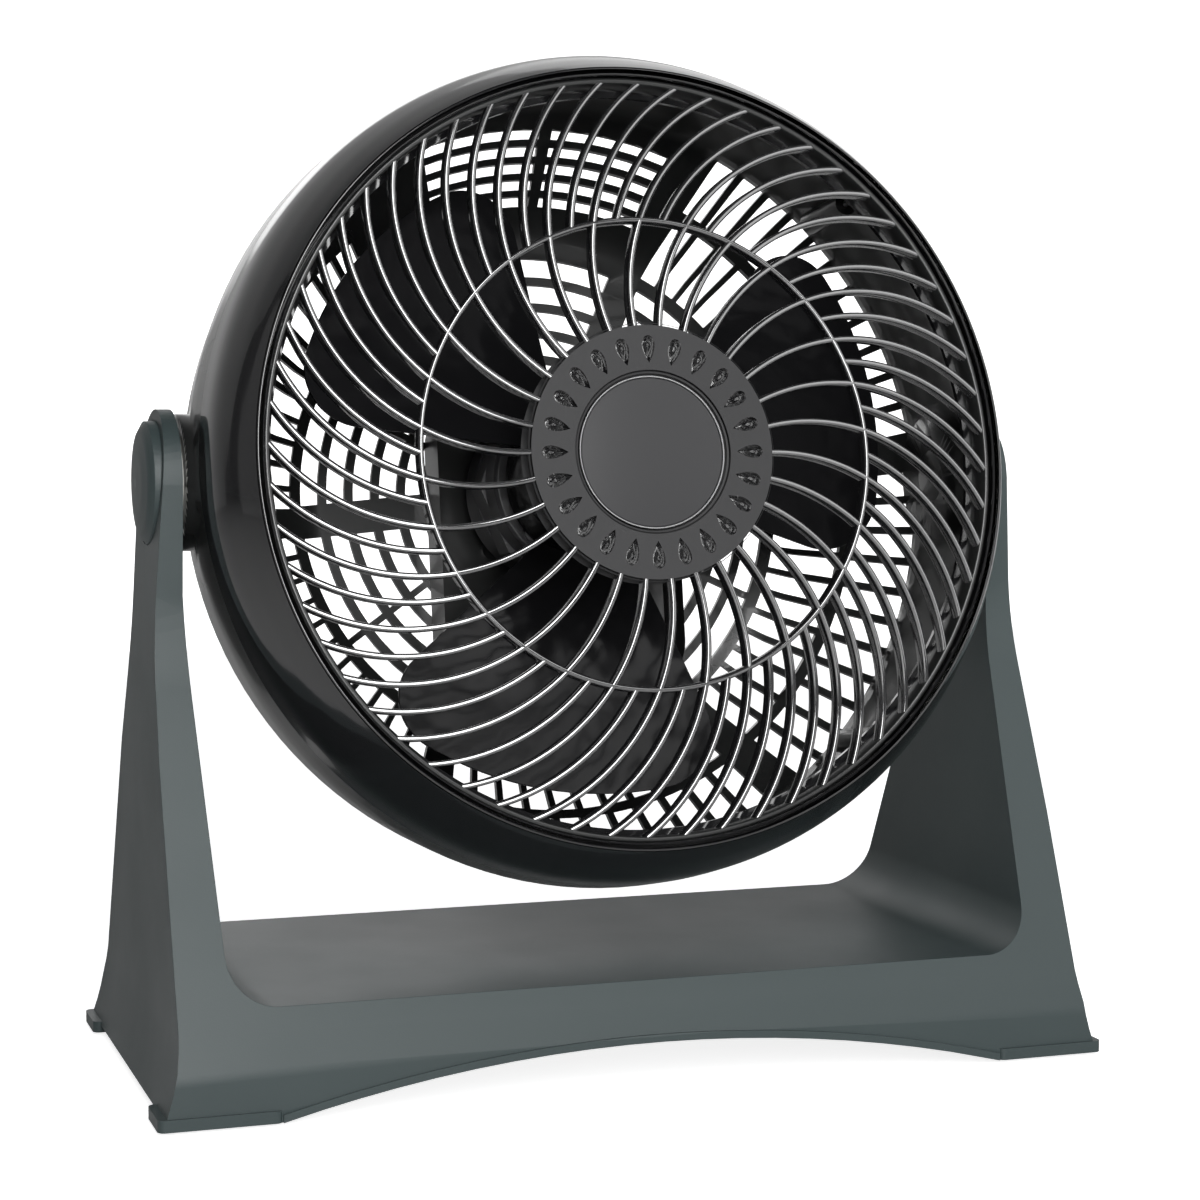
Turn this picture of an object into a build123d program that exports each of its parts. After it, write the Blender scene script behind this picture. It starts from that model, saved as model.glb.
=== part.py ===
from build123d import *
import os
from math import cos, radians, sin

# An air circulator fan on a U-shaped stand. Millimetres. The feet stand on Z = 0, the head's
# pivot line runs along X, and the head faces -Y, tipped up by REST_TILT.

# ---------------------------------------------------------------- stand sizes
PIVOT_HEIGHT = 253.0
STAND_HALF_WIDTH = 206.0
STAND_HALF_DEPTH = 97.5
STAND_WALL = 2.8
ARM_OUTER_WAIST = 199.5
ARM_OUTER_APEX = 191.0
ARM_OUTER_BOW = 3.0
ARM_INNER_DRAFT = 7.5
ARM_END_RADIUS = 31.0
ARM_NECK_HALF_DEPTH = 28.5
ARM_NECK_DROP = 46.0
ARM_SHOULDER_DROP = 84.0
ARM_SHOULDER_HALF_DEPTH = 36.0
ARM_SOLID_BELOW_PIVOT = 48.0
CROSSBAR_TOP = 46.0
CROSSBAR_FILLET = 21.0
SKIRT_HEIGHT = 24.0
SKIRT_TOP_INSET = 1.2
FLARE_HEIGHT = 44.0
ARCH_RISE = 20.2
ARCH_HALF_SPAN = 159.0
FOOT_BASE = 1.5
FOOT_LENGTH = 25.0
FOOT_CORNER = 3.0
FOOT_LIP_HEIGHT = 5.0
FOOT_LIP_PROUD = 3.2
SIDE_SKIRT_GAP = 3.5
BEAD_HEIGHT = 3.2
BEAD_PROUD = 1.0
PAD_LENGTH = 36.0
PAD_WIDTH = 15.0
PAD_THICK = 3.2
PAD_CLEARANCE = 0.25
PAD_CORNER = 2.0
BELOW_FLOOR = 30.0

# ---------------------------------------------------------------- head shell sizes
REST_TILT = 9.4
SHELL_WALL = 2.6
DRUM_RADIUS = 180.5
DRUM_WIDEST_AT = 18.0
SEAM_AT = 36.0
SEAM_RADIUS = 179.4
SEAM_LAP = 6.0
LAP_WALL = 1.8
LAP_CLEARANCE = 0.2
RIM_DRAFT = 1.0
RIM_SHOULDER_RADIUS = 172.6
RIM_SHOULDER_AT = 65.0
RIM_LIP_RADIUS = 164.0
RIM_LIP_AT = 80.6
RIM_LIP_DROP = 1.2
RIM_FLATS = 3
MOUTH_RADIUS = 161.0
MOUTH_WALL = 2.2
LEDGE_THICK = 2.4
LEDGE_WIDTH = 5.5
DRUM_BACK_RADIUS = 176.5
DRUM_BACK_AT = -18.0
CONE_START_RADIUS = 168.0
CONE_START_AT = -32.0
BACK_EDGE_RADIUS = 121.0
BACK_EDGE_SETBACK = 9.0
BACK_AT = -72.0

# openings of the shoulder and the back
SECTOR_SLOTS = 11
SLOT_PITCH = 5.0
SLOT_SPREAD = 3.8
OUTER_SLOTS_FROM = 150.0
OUTER_SLOTS_TO = 173.5
INNER_SLOTS_FROM = 119.0
INNER_SLOTS_TO = 146.0
SLOTS_FRONT_AT = -20.0
ROW_SECTOR = 1
PLAIN_SECTOR = 2
SHOULDER_ROWS = 5
SHOULDER_ROW_PITCH = 6.6
SHOULDER_ROW_WIDTH = 4.0
SHOULDER_FIRST_ROW = 138.0
SHOULDER_ROW_START = 69.0
SHOULDER_ROW_SPREAD = 20.0
SHOULDER_ROW_STEP = 22.0
BACK_ROWS = 5
BACK_ROW_PITCH = 12.4
BACK_ROW_WIDTH = 8.4
BACK_FIRST_ROW = 60.0
BACK_SPOKES = 6
BACK_SPOKE_WIDTH = 15.0
BACK_THIN_BAR = 3.0
BACK_SPOKE_PHASE = 5.0

# ---------------------------------------------------------------- grille sizes
DOME_TOP = 89.0
DOME_RING_DROP = 3.4
DOME_RIM_DROP = 9.4
GRILLE_HUB_RADIUS = 53.5
GRILLE_HUB_THICK = 5.5
HUB_SKIRT_DEPTH = 11.0
HUB_SKIRT_WALL = 2.4
GRILLE_RING_RADIUS = 98.3
GRILLE_RING_WIDTH = 2.4
GRILLE_RIM_WIDTH = 2.4
GRILLE_RIM_PROUD = 0.4
GRILLE_RIM_DEPTH = 12.2
GRILLE_CLEARANCE = 0.25
RIB_WIDTH = 2.4
RIB_DEPTH = 6.0
INNER_RIBS = 30
RIB_TURN_AT_HUB = 0.4
RIB_TURN_AT_RING = 6.5
RIB_TURN_AT_RIM = 27.4
RIB_OVERRUN = 3.0
BADGE_RADIUS = 31.5
BADGE_THICK = 2.4
BADGE_SINK = 1.4
BADGE_CLEARANCE = 0.2
BADGE_EDGE = 0.6
TEARDROPS = 24
TEARDROP_CENTRE = 42.9
TEARDROP_LENGTH = 11.6
TEARDROP_WIDTH = 5.6
TEARDROP_DEPTH = 1.3
CLIPS = 6
CLIP_WIDTH = 14.0
CLIP_THICK = 1.8
CLIP_BARB = 1.0
CLIP_LENGTH = 5.0
CLIP_CLEARANCE = 0.25

# ---------------------------------------------------------------- pivot sizes
BOSS_RADIUS = 29.0
BOSS_PROUD = 2.2
PLATE_RADIUS = 24.0
PLATE_THICK = 4.0
PLATE_CLEARANCE = 0.3
FRICTION_WASHER_THICK = 2.2
FRICTION_WASHER_RADIUS = 19.5
SIDE_GAP = 0.15
SPIGOT_RADIUS = 12.0
RUNNING_GAP = 0.05
CAP_RADIUS = 26.0
CAP_SEAT_GAP = 0.3
CAP_SEAT_LEVEL = 5.6
CAP_RISE = 9.0
CAP_CROWN = 4.0
CAP_WALL = 2.4
CAP_NOTCH = 3.0
CAP_NOTCH_DEPTH = 1.5
PIVOT_WASHER_RADIUS = 15.0
PIVOT_WASHER_THICK = 1.5
WASHER_SEAT_DEPTH = 2.1
PIVOT_SCREW_RADIUS = 2.5
PIVOT_SCREW_HEAD = 5.5
PIVOT_SCREW_HEAD_THICK = 2.4
PIVOT_SCREW_LENGTH = 18.0
TRUNNION_SCREWS = 3
TRUNNION_SCREW_PCD_RADIUS = 17.5
TRUNNION_SCREW_LENGTH = 11.0
BOSS_DEPTH = 13.0
SMALL_SCREW_RADIUS = 1.5
SMALL_SCREW_HEAD = 2.8
SMALL_SCREW_HEAD_THICK = 1.6

# ---------------------------------------------------------------- impeller sizes
BLADES = 3
BLADE_TIP_RADIUS = 140.0
BLADE_THICK = 2.2
BLADE_TIP_HALF_SPAN = 34.0
BLADE_ROOT_HALF_SPAN = 26.0
BLADE_PITCH = 190.0
BLADE_MIDDLE_AT = 16.0
BLADE_PHASE = 17.0
BLADE_CORNER = 24.0
FAN_HUB_RADIUS = 36.0
FAN_HUB_BACK_AT = -3.0
FAN_HUB_FRONT_AT = 32.0
FAN_HUB_WALL = 2.4
FAN_BOSS_RADIUS = 9.0
NUT_RADIUS = 9.5
NUT_HEIGHT = 11.0
NUT_FLUTES = 8
NUT_FLUTE_RADIUS = 1.6

# ---------------------------------------------------------------- motor sizes
SHAFT_RADIUS = 4.0
SHAFT_BACK_AT = -53.5
SHAFT_FRONT_AT = 40.0
STATOR_RADIUS = 42.0
STATOR_BACK_AT = -37.0
STATOR_FRONT_AT = -23.0
STATOR_FLATS = 8
ROTOR_RADIUS = 22.0
ROTOR_GAP = 0.45
ROTOR_INSET = 0.6
MOTOR_SHELL_RADIUS = 39.5
MOTOR_SHELL_WALL = 2.0
MOTOR_SHELL_EDGE = 1.5
MOTOR_FRONT_AT = -8.0
MOTOR_BACK_AT = -55.0
BEARING_RADIUS = 9.0
BEARING_LENGTH = 7.0
WINDING_INNER = 24.0
WINDING_OUTER = 28.8
WINDING_LENGTH = 8.0
MOTOR_FIXINGS = 4
MOTOR_PCD_RADIUS = 33.0
MOTOR_POST_RADIUS = 5.5
MOTOR_BOLT_PHASE = 45.0
MOTOR_BOLT_RADIUS = 1.8
MOTOR_BOLT_HEAD = 3.4
MOTOR_BOLT_HEAD_THICK = 2.0
MOTOR_BOLT_IN_POST = 12.0
HOUSING_SCREWS = 4
HOUSING_SCREW_PCD_RADIUS = 171.0
HOUSING_POST_BACK_AT = -10.0
SCREW_ACCESS_RADIUS = 3.4
HOUSING_POST_RADIUS = 5.2
HOUSING_SCREW_PHASE = 45.0
HOUSING_SCREW_LENGTH = 58.0
RING_POST_LENGTH = 16.0
RING_POST_INSET = 2.0

# ---------------------------------------------------------------- switch, knob and gland sizes
SWITCH_WIDTH = 27.0
SWITCH_HEIGHT = 24.0
SWITCH_DEPTH = 12.0
BUSHING_RADIUS = 5.0
BUSHING_PROUD = 5.0
SWITCH_SHAFT_RADIUS = 3.0
SWITCH_SHAFT_IN = 8.0
SWITCH_NUT_THICK = 2.2
SWITCH_NUT_RADIUS = 8.0
KNOB_RADIUS = 22.0
KNOB_HEIGHT = 17.0
KNOB_GAP = 0.8
KNOB_WALL = 2.6
KNOB_GRIP_WIDTH = 11.0
KNOB_GRIP_HEIGHT = 9.0
KNOB_EDGE = 1.5
GLAND_DROP = 42.0
GLAND_NECK_RADIUS = 5.0
GLAND_FLANGE_RADIUS = 7.5
GLAND_HOLE_RADIUS = 3.3
GLAND_FLANGE_THICK = 2.0
HOLE_GAP = 0.1

# ---------------------------------------------------------------- worked out from the sizes
boss_face = DRUM_RADIUS + BOSS_PROUD
arm_inner = boss_face + FRICTION_WASHER_THICK + 2 * SIDE_GAP
cap_seat = arm_inner + CAP_SEAT_LEVEL
washer_floor = cap_seat - WASHER_SEAT_DEPTH
screw_under_head = washer_floor + SIDE_GAP + PIVOT_WASHER_THICK
arm_top = PIVOT_HEIGHT + ARM_END_RADIUS
back_inner = BACK_AT + SHELL_WALL
grille_rim_radius = MOUTH_RADIUS - GRILLE_CLEARANCE
seam_inner = SEAM_RADIUS - SHELL_WALL
boss_inner = boss_face - BOSS_DEPTH
clip_radius = grille_rim_radius - GRILLE_RIM_WIDTH / 2
screw_circle = (HOUSING_SCREW_PCD_RADIUS, HOUSING_SCREWS, HOUSING_SCREW_PHASE)
ring_post_circle = (HOUSING_SCREW_PCD_RADIUS - RING_POST_INSET, HOUSING_SCREWS, HOUSING_SCREW_PHASE)
bolt_circle = (MOTOR_PCD_RADIUS, MOTOR_FIXINGS, MOTOR_BOLT_PHASE)
ring_face = DOME_TOP - DOME_RING_DROP
rim_face = ring_face - DOME_RIM_DROP
ledge_top = rim_face - GRILLE_RIM_DEPTH
ledge_bottom = ledge_top - LEDGE_THICK
knob_back = BACK_AT - KNOB_GAP
shaft_out = knob_back - KNOB_HEIGHT + KNOB_WALL
foot_length_x = STAND_HALF_WIDTH + FOOT_LIP_PROUD - ARCH_HALF_SPAN
foot_length_y = FOOT_LENGTH + BEAD_PROUD
foot_x = ARCH_HALF_SPAN + foot_length_x / 2
foot_y = STAND_HALF_DEPTH + BEAD_PROUD - foot_length_y / 2
foot_centres = [(foot_x, foot_y), (-foot_x, foot_y), (foot_x, -foot_y), (-foot_x, -foot_y)]

tilt = radians(REST_TILT)
axis_dir = (0, -cos(tilt), sin(tilt))
pivot = (0, 0, PIVOT_HEIGHT)
# The head's own plane: local x right, y up, z forward along the fan's axis.
head = Plane(origin=pivot, x_dir=(1, 0, 0), z_dir=axis_dir)
# The head's section plane: local x is the radius, y runs forward along the fan's axis.
cut = Plane(origin=pivot, x_dir=(1, 0, 0), z_dir=(0, -sin(tilt), -cos(tilt)))
fan_axis = Axis(pivot, axis_dir)
pivot_axis = Axis(pivot, (1, 0, 0))
right_side = Plane(origin=pivot, x_dir=(0, 1, 0), z_dir=(1, 0, 0))
left_side = Plane(origin=pivot, x_dir=(0, -1, 0), z_dir=(-1, 0, 0))
both_sides = (right_side, left_side)

os.makedirs("parts", exist_ok=True)


def save(block, name, move_y):
    placed = block.part.translate((0, move_y, 0))
    placed.label = name
    export_step(placed, "parts/" + name + ".step")


def polar(radius, angle):
    return (radius * cos(radians(angle)), radius * sin(radians(angle)))


def collar(back, front, outer, inner=0.0, mode=Mode.ADD):
    """A plain ring or disc about the fan's axis, between two places on it."""
    with BuildSketch(head.offset(back)) as ring:
        Circle(outer)
        if inner:
            Circle(inner, mode=Mode.SUBTRACT)
    extrude(ring.sketch, amount=front - back, mode=mode)


def pegs(back, front, radius, circle, count, phase, mode=Mode.ADD):
    """Equal round pegs or holes on a circle about the fan's axis."""
    with BuildSketch(head.offset(back)) as spots:
        with PolarLocations(circle, count, start_angle=phase):
            Circle(radius)
    extrude(spots.sketch, amount=front - back, mode=mode)


# ---------------------------------------------------------------- stand
def stand_front_view(bottom):
    """The U seen from the front: both arms, the crossbar and the flared foot of each arm."""
    with BuildLine() as half:
        neck = (arm_inner, PIVOT_HEIGHT - ARM_NECK_DROP)
        Line((0, bottom), (0, CROSSBAR_TOP))
        FilletPolyline(
            (0, CROSSBAR_TOP),
            (arm_inner - ARM_INNER_DRAFT, CROSSBAR_TOP),
            neck,
            radius=CROSSBAR_FILLET,
        )
        Line(neck, (arm_inner, arm_top + 1))
        Line((arm_inner, arm_top + 1), (ARM_OUTER_APEX, arm_top + 1))
        bow = (ARM_OUTER_APEX + ARM_OUTER_WAIST) / 2 + ARM_OUTER_BOW
        outer = ThreePointArc(
            (ARM_OUTER_APEX, arm_top + 1),
            (bow, (arm_top + FLARE_HEIGHT) / 2),
            (ARM_OUTER_WAIST, FLARE_HEIGHT),
        )
        foot_top = FOOT_BASE + SIDE_SKIRT_GAP
        flare = TangentArc(outer @ 1, (STAND_HALF_WIDTH, foot_top), tangent=outer % 1)
        Line(flare @ 1, (STAND_HALF_WIDTH, bottom))
        Line((STAND_HALF_WIDTH, bottom), (0, bottom))
    make_face(half.edges())
    mirror(about=Plane.YZ)


def stand_side_view():
    """The A-shaped side view, from below the floor up to the round end of the arm."""
    top_inset = STAND_HALF_DEPTH - SKIRT_TOP_INSET
    with BuildLine() as half:
        Line((0, -BELOW_FLOOR), (STAND_HALF_DEPTH, -BELOW_FLOOR))
        Line((STAND_HALF_DEPTH, -BELOW_FLOOR), (STAND_HALF_DEPTH, 0))
        Line((STAND_HALF_DEPTH, 0), (top_inset, SKIRT_HEIGHT))
        shoulder = (ARM_SHOULDER_HALF_DEPTH, PIVOT_HEIGHT - ARM_SHOULDER_DROP)
        flank = Line((top_inset, SKIRT_HEIGHT), shoulder)
        neck = (ARM_NECK_HALF_DEPTH, PIVOT_HEIGHT - ARM_NECK_DROP)
        end = (ARM_END_RADIUS, PIVOT_HEIGHT)
        TangentArc(shoulder, neck, tangent=flank % 1)
        Line(neck, end)
        RadiusArc(end, (0, arm_top), -ARM_END_RADIUS)
        Line((0, arm_top), (0, -BELOW_FLOOR))
    make_face(half.edges())
    mirror(about=Plane.YZ)


def arch_line(rise):
    """The arched lower edge of the front and the back, raised by an amount."""
    low = FOOT_BASE + rise
    return ThreePointArc((-ARCH_HALF_SPAN, low), (0, low + ARCH_RISE), (ARCH_HALF_SPAN, low))


with BuildPart() as stand_cavity:
    with BuildSketch(Plane.XZ):
        stand_front_view(-BELOW_FLOOR)
        offset(amount=-STAND_WALL)
    extrude(amount=STAND_HALF_DEPTH, both=True)
    with BuildSketch(Plane.YZ):
        stand_side_view()
        offset(amount=-STAND_WALL)
    extrude(amount=STAND_HALF_WIDTH, both=True, mode=Mode.INTERSECT)
    # The arm is solid from a little below the pivot up.
    split(bisect_by=Plane.XY.offset(PIVOT_HEIGHT - ARM_SOLID_BELOW_PIVOT), keep=Keep.BOTTOM)

with BuildPart() as lower_bead:
    # A thin bead follows the arched lower edge of the front and the back.
    with BuildSketch(Plane.XZ):
        with BuildLine():
            low = arch_line(0)
            high = arch_line(BEAD_HEIGHT)
            Line(low @ 0, high @ 0)
            Line(low @ 1, high @ 1)
        make_face()
    extrude(amount=STAND_HALF_DEPTH + BEAD_PROUD, both=True)
    with BuildSketch(Plane.YZ):
        stand_side_view()
        offset(amount=BEAD_PROUD)
    extrude(amount=STAND_HALF_WIDTH, both=True, mode=Mode.INTERSECT)

with BuildPart() as stand_frame:
    with BuildSketch(Plane.XZ):
        stand_front_view(FOOT_BASE)
    extrude(amount=STAND_HALF_DEPTH, both=True)
    with BuildSketch(Plane.YZ):
        stand_side_view()
    extrude(amount=STAND_HALF_WIDTH, both=True, mode=Mode.INTERSECT)
    # The arch under the front and the back, then the bead along it.
    with BuildSketch(Plane.XZ):
        with BuildLine():
            low = arch_line(0)
            Line(low @ 1, low @ 0)
        make_face()
    extrude(amount=STAND_HALF_DEPTH + BEAD_PROUD, both=True, mode=Mode.SUBTRACT)
    add(lower_bead.part)
    # The side walls stop short of the floor between the feet.
    with BuildSketch(Plane.YZ.offset(-STAND_HALF_WIDTH)):
        Rectangle(2 * (STAND_HALF_DEPTH - FOOT_LENGTH), 2 * (FOOT_BASE + SIDE_SKIRT_GAP))
    extrude(amount=2 * STAND_HALF_WIDTH, mode=Mode.SUBTRACT)
    add(stand_cavity.part, mode=Mode.SUBTRACT)
    # Four low corner feet, a little proud of the walls, each with a pad's recess below.
    with BuildSketch(Plane.XY.offset(FOOT_BASE)):
        with Locations(*foot_centres):
            RectangleRounded(foot_length_x, foot_length_y, FOOT_CORNER)
    extrude(amount=FOOT_LIP_HEIGHT)
    with BuildSketch(Plane.XY):
        with Locations(*foot_centres):
            RectangleRounded(
                PAD_LENGTH + 2 * PAD_CLEARANCE, PAD_WIDTH + 2 * PAD_CLEARANCE, PAD_CORNER
            )
    extrude(amount=PAD_THICK, mode=Mode.SUBTRACT)
    # Each arm has the trunnion's bore, the washer's counterbore and the cap's round seat.
    for arm in both_sides:
        with BuildSketch(arm.offset(arm_inner - 1)):
            Circle(SPIGOT_RADIUS + RUNNING_GAP)
        extrude(amount=cap_seat - arm_inner + 1, mode=Mode.SUBTRACT)
        with BuildSketch(arm.offset(washer_floor)):
            Circle(PIVOT_WASHER_RADIUS + CAP_SEAT_GAP)
        extrude(amount=WASHER_SEAT_DEPTH, mode=Mode.SUBTRACT)
        with BuildSketch(arm.offset(cap_seat)):
            Circle(CAP_RADIUS + CAP_SEAT_GAP)
        extrude(amount=STAND_HALF_WIDTH - cap_seat, mode=Mode.SUBTRACT)

with BuildPart() as foot_pads:
    with BuildSketch(Plane.XY):
        with Locations(*foot_centres):
            RectangleRounded(PAD_LENGTH, PAD_WIDTH, PAD_CORNER)
    extrude(amount=PAD_THICK)


# ---------------------------------------------------------------- pivot caps, washers and screws
with BuildPart() as right_pivot_cap:
    # A domed snap cap in the arm's round seat, with two pry notches in its edge.
    cap_top = cap_seat + CAP_RISE
    cap_edge = cap_top - CAP_CROWN
    with BuildSketch(Plane(origin=pivot, x_dir=(1, 0, 0), z_dir=(0, -1, 0))):
        with BuildLine():
            Polyline(
                (cap_seat, 0),
                (cap_top, 0),
                (cap_top - 0.1 * CAP_CROWN, 0.5 * CAP_RADIUS),
                (cap_top - 0.45 * CAP_CROWN, 0.85 * CAP_RADIUS),
                (cap_edge, CAP_RADIUS),
                (cap_seat, CAP_RADIUS),
                close=True,
            )
        make_face()
        with BuildLine():
            Polyline(
                (cap_seat, 0),
                (cap_edge - CAP_WALL / 2, 0),
                (cap_edge - CAP_WALL / 2, CAP_RADIUS - CAP_WALL),
                (cap_seat, CAP_RADIUS - CAP_WALL),
                close=True,
            )
        make_face(mode=Mode.SUBTRACT)
    revolve(axis=pivot_axis)
    with BuildSketch(right_side.offset(cap_edge - CAP_NOTCH_DEPTH)):
        with Locations((0, CAP_RADIUS), (0, -CAP_RADIUS)):
            Rectangle(CAP_NOTCH, CAP_NOTCH)
    extrude(amount=CAP_RISE, mode=Mode.SUBTRACT)

with BuildPart() as left_pivot_cap:
    add(right_pivot_cap.part.mirror(Plane.YZ))

with BuildPart() as pivot_washers:
    for arm in both_sides:
        with BuildSketch(arm.offset(washer_floor + SIDE_GAP)):
            Circle(PIVOT_WASHER_RADIUS)
            Circle(PIVOT_SCREW_RADIUS + HOLE_GAP, mode=Mode.SUBTRACT)
        extrude(amount=PIVOT_WASHER_THICK)

with BuildPart() as pivot_screws:
    for arm in both_sides:
        with BuildSketch(arm.offset(screw_under_head)):
            Circle(PIVOT_SCREW_HEAD)
        extrude(amount=PIVOT_SCREW_HEAD_THICK)
        with BuildSketch(arm.offset(screw_under_head)):
            Circle(PIVOT_SCREW_RADIUS)
        extrude(amount=-PIVOT_SCREW_LENGTH)


# ---------------------------------------------------------------- head shell
def moved_points(arc, inward, runs):
    """Points that divide an arc into equal runs, all moved in towards its centre."""
    scale = 1 - inward / arc.radius
    return [arc.arc_center + (arc @ (run / runs) - arc.arc_center) * scale for run in range(runs + 1)]


def drum_line(*end):
    """The drum's outer line, from the seam back round the shoulder and down the cone to an end."""
    seam = (SEAM_RADIUS, SEAM_AT)
    widest = (DRUM_RADIUS, DRUM_WIDEST_AT)
    drum_back = (DRUM_BACK_RADIUS, DRUM_BACK_AT)
    cone_start = (CONE_START_RADIUS, CONE_START_AT)
    side = Line(widest, drum_back, mode=Mode.PRIVATE)
    turn = TangentArc(drum_back, cone_start, tangent=side % 1, mode=Mode.PRIVATE)
    return Polyline(seam, widest, drum_back, turn @ 0.5, cone_start, *end)


def rim_line(wall):
    """The front ring's line, from the seam forward to the lip, drawn in by a wall."""
    arc = ThreePointArc(
        (SEAM_RADIUS, SEAM_AT),
        (RIM_SHOULDER_RADIUS, RIM_SHOULDER_AT),
        (RIM_LIP_RADIUS, RIM_LIP_AT),
        mode=Mode.PRIVATE,
    )
    return Polyline(*moved_points(arc, wall, RIM_FLATS))


def ray_slot(inner, outer, start, spread):
    """A slot between two radii and two rays from the fan's axis."""
    with BuildSketch() as slot:
        with BuildLine():
            near = CenterArc((0, 0), inner, start, spread)
            far = CenterArc((0, 0), outer, start, spread)
            Line(near @ 0, far @ 0)
            Line(near @ 1, far @ 1)
        make_face()
    return slot.sketch


outer_slot = ray_slot(OUTER_SLOTS_FROM, OUTER_SLOTS_TO, -SLOT_SPREAD / 2, SLOT_SPREAD)
inner_slot = ray_slot(INNER_SLOTS_FROM, INNER_SLOTS_TO, -SLOT_SPREAD / 2, SLOT_SPREAD)
row_slots = []
for row in range(SHOULDER_ROWS):
    row_middle = SHOULDER_FIRST_ROW + row * SHOULDER_ROW_PITCH
    row_in = row_middle - SHOULDER_ROW_WIDTH / 2
    row_out = row_middle + SHOULDER_ROW_WIDTH / 2
    row_slots.append(ray_slot(row_in, row_out, 0, SHOULDER_ROW_SPREAD))

with BuildPart() as rear_housing:
    with BuildSketch(cut):
        with BuildLine():
            cone_fall = (BACK_AT - CONE_START_AT) / (BACK_EDGE_RADIUS - CONE_START_RADIUS)
            edge_radius = BACK_EDGE_RADIUS + BACK_EDGE_SETBACK
            edge_at = BACK_AT + cone_fall * BACK_EDGE_SETBACK
            drum_line((edge_radius, edge_at), (BACK_EDGE_RADIUS - BACK_EDGE_SETBACK, BACK_AT), (0, BACK_AT))
            offset(amount=SHELL_WALL, side=Side.RIGHT)
        make_face()
    revolve(axis=fan_axis)
    # Two rings of meridional slots through the sloping shoulder, sector by sector. The top
    # sector has concentric rows instead, and its left neighbour has the inner ring alone.
    slots_reach = (SECTOR_SLOTS - 1) * SLOT_PITCH
    with BuildSketch(head.offset(BACK_AT - 1)):
        for sector in range(BACK_SPOKES):
            first = BACK_SPOKE_PHASE + (sector + 0.5) * 360 / BACK_SPOKES - slots_reach / 2
            if sector != ROW_SECTOR:
                with PolarLocations(0, SECTOR_SLOTS, first, slots_reach, endpoint=True):
                    add(inner_slot)
                    if sector != PLAIN_SECTOR:
                        add(outer_slot)
        with PolarLocations(0, 2, SHOULDER_ROW_START, SHOULDER_ROW_STEP, endpoint=True):
            add(row_slots)
    extrude(amount=SLOTS_FRONT_AT - BACK_AT, mode=Mode.SUBTRACT)
    # Rows of concentric slots in the flat back, between broad spokes and thin bars.
    with BuildSketch(head.offset(BACK_AT - 1)):
        for row in reversed(range(BACK_ROWS)):
            Circle(BACK_FIRST_ROW + row * BACK_ROW_PITCH + BACK_ROW_WIDTH / 2)
            Circle(BACK_FIRST_ROW + row * BACK_ROW_PITCH - BACK_ROW_WIDTH / 2, mode=Mode.SUBTRACT)
        with PolarLocations(BACK_EDGE_RADIUS / 2, BACK_SPOKES, start_angle=BACK_SPOKE_PHASE):
            Rectangle(BACK_EDGE_RADIUS, BACK_SPOKE_WIDTH, mode=Mode.SUBTRACT)
        thin_phase = BACK_SPOKE_PHASE + 180 / BACK_SPOKES
        with PolarLocations(BACK_EDGE_RADIUS / 2, BACK_SPOKES, start_angle=thin_phase):
            Rectangle(BACK_EDGE_RADIUS, BACK_THIN_BAR, mode=Mode.SUBTRACT)
    extrude(amount=2 * SHELL_WALL, mode=Mode.SUBTRACT)
    # The lap that slides inside the front ring.
    lap_outer = seam_inner - LAP_CLEARANCE - RIM_DRAFT
    with BuildSketch(cut):
        with BuildLine():
            Polyline(
                (lap_outer - LAP_WALL, SEAM_AT - SEAM_LAP),
                (seam_inner + SHELL_WALL / 2, SEAM_AT - SEAM_LAP),
                (seam_inner + SHELL_WALL / 2, SEAM_AT - 1),
                (lap_outer, SEAM_AT - 1),
                (lap_outer, SEAM_AT + SEAM_LAP),
                (lap_outer - LAP_WALL, SEAM_AT + SEAM_LAP),
                close=True,
            )
        make_face()
    revolve(axis=fan_axis)
    # Posts for the housing screws, with a way in for the driver through the shoulder.
    pegs(HOUSING_POST_BACK_AT, SEAM_AT - SEAM_LAP, HOUSING_POST_RADIUS, *screw_circle)
    pegs(BACK_AT, HOUSING_POST_BACK_AT, SCREW_ACCESS_RADIUS, *screw_circle, mode=Mode.SUBTRACT)
    pegs(BACK_AT, SEAM_AT + SEAM_LAP, SMALL_SCREW_RADIUS + HOLE_GAP, *screw_circle, mode=Mode.SUBTRACT)
    # Round side bosses, each with a recess for the trunnion's plate, a hole for its stem and
    # holes for its screws.
    for arm in both_sides:
        with BuildSketch(arm.offset(boss_inner)):
            Circle(BOSS_RADIUS)
        extrude(amount=BOSS_DEPTH)
        with BuildSketch(arm.offset(boss_face)):
            Circle(PLATE_RADIUS + PLATE_CLEARANCE)
        extrude(amount=-PLATE_THICK, mode=Mode.SUBTRACT)
        with BuildSketch(arm.offset(boss_face)):
            Circle(SPIGOT_RADIUS + HOLE_GAP)
            with PolarLocations(TRUNNION_SCREW_PCD_RADIUS, TRUNNION_SCREWS, start_angle=90):
                Circle(SMALL_SCREW_RADIUS)
        extrude(amount=-BOSS_DEPTH, mode=Mode.SUBTRACT)
    # Motor posts with blind bolt holes, the switch's hole and the gland's hole.
    pegs(back_inner - SHELL_WALL / 2, MOTOR_BACK_AT, MOTOR_POST_RADIUS, *bolt_circle)
    pegs(
        MOTOR_BACK_AT - MOTOR_BOLT_IN_POST, MOTOR_BACK_AT, MOTOR_BOLT_RADIUS, *bolt_circle,
        mode=Mode.SUBTRACT,
    )
    collar(BACK_AT, back_inner, BUSHING_RADIUS + HOLE_GAP, mode=Mode.SUBTRACT)
    pegs(BACK_AT, back_inner, GLAND_NECK_RADIUS + HOLE_GAP, GLAND_DROP, 1, -90, mode=Mode.SUBTRACT)

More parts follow.
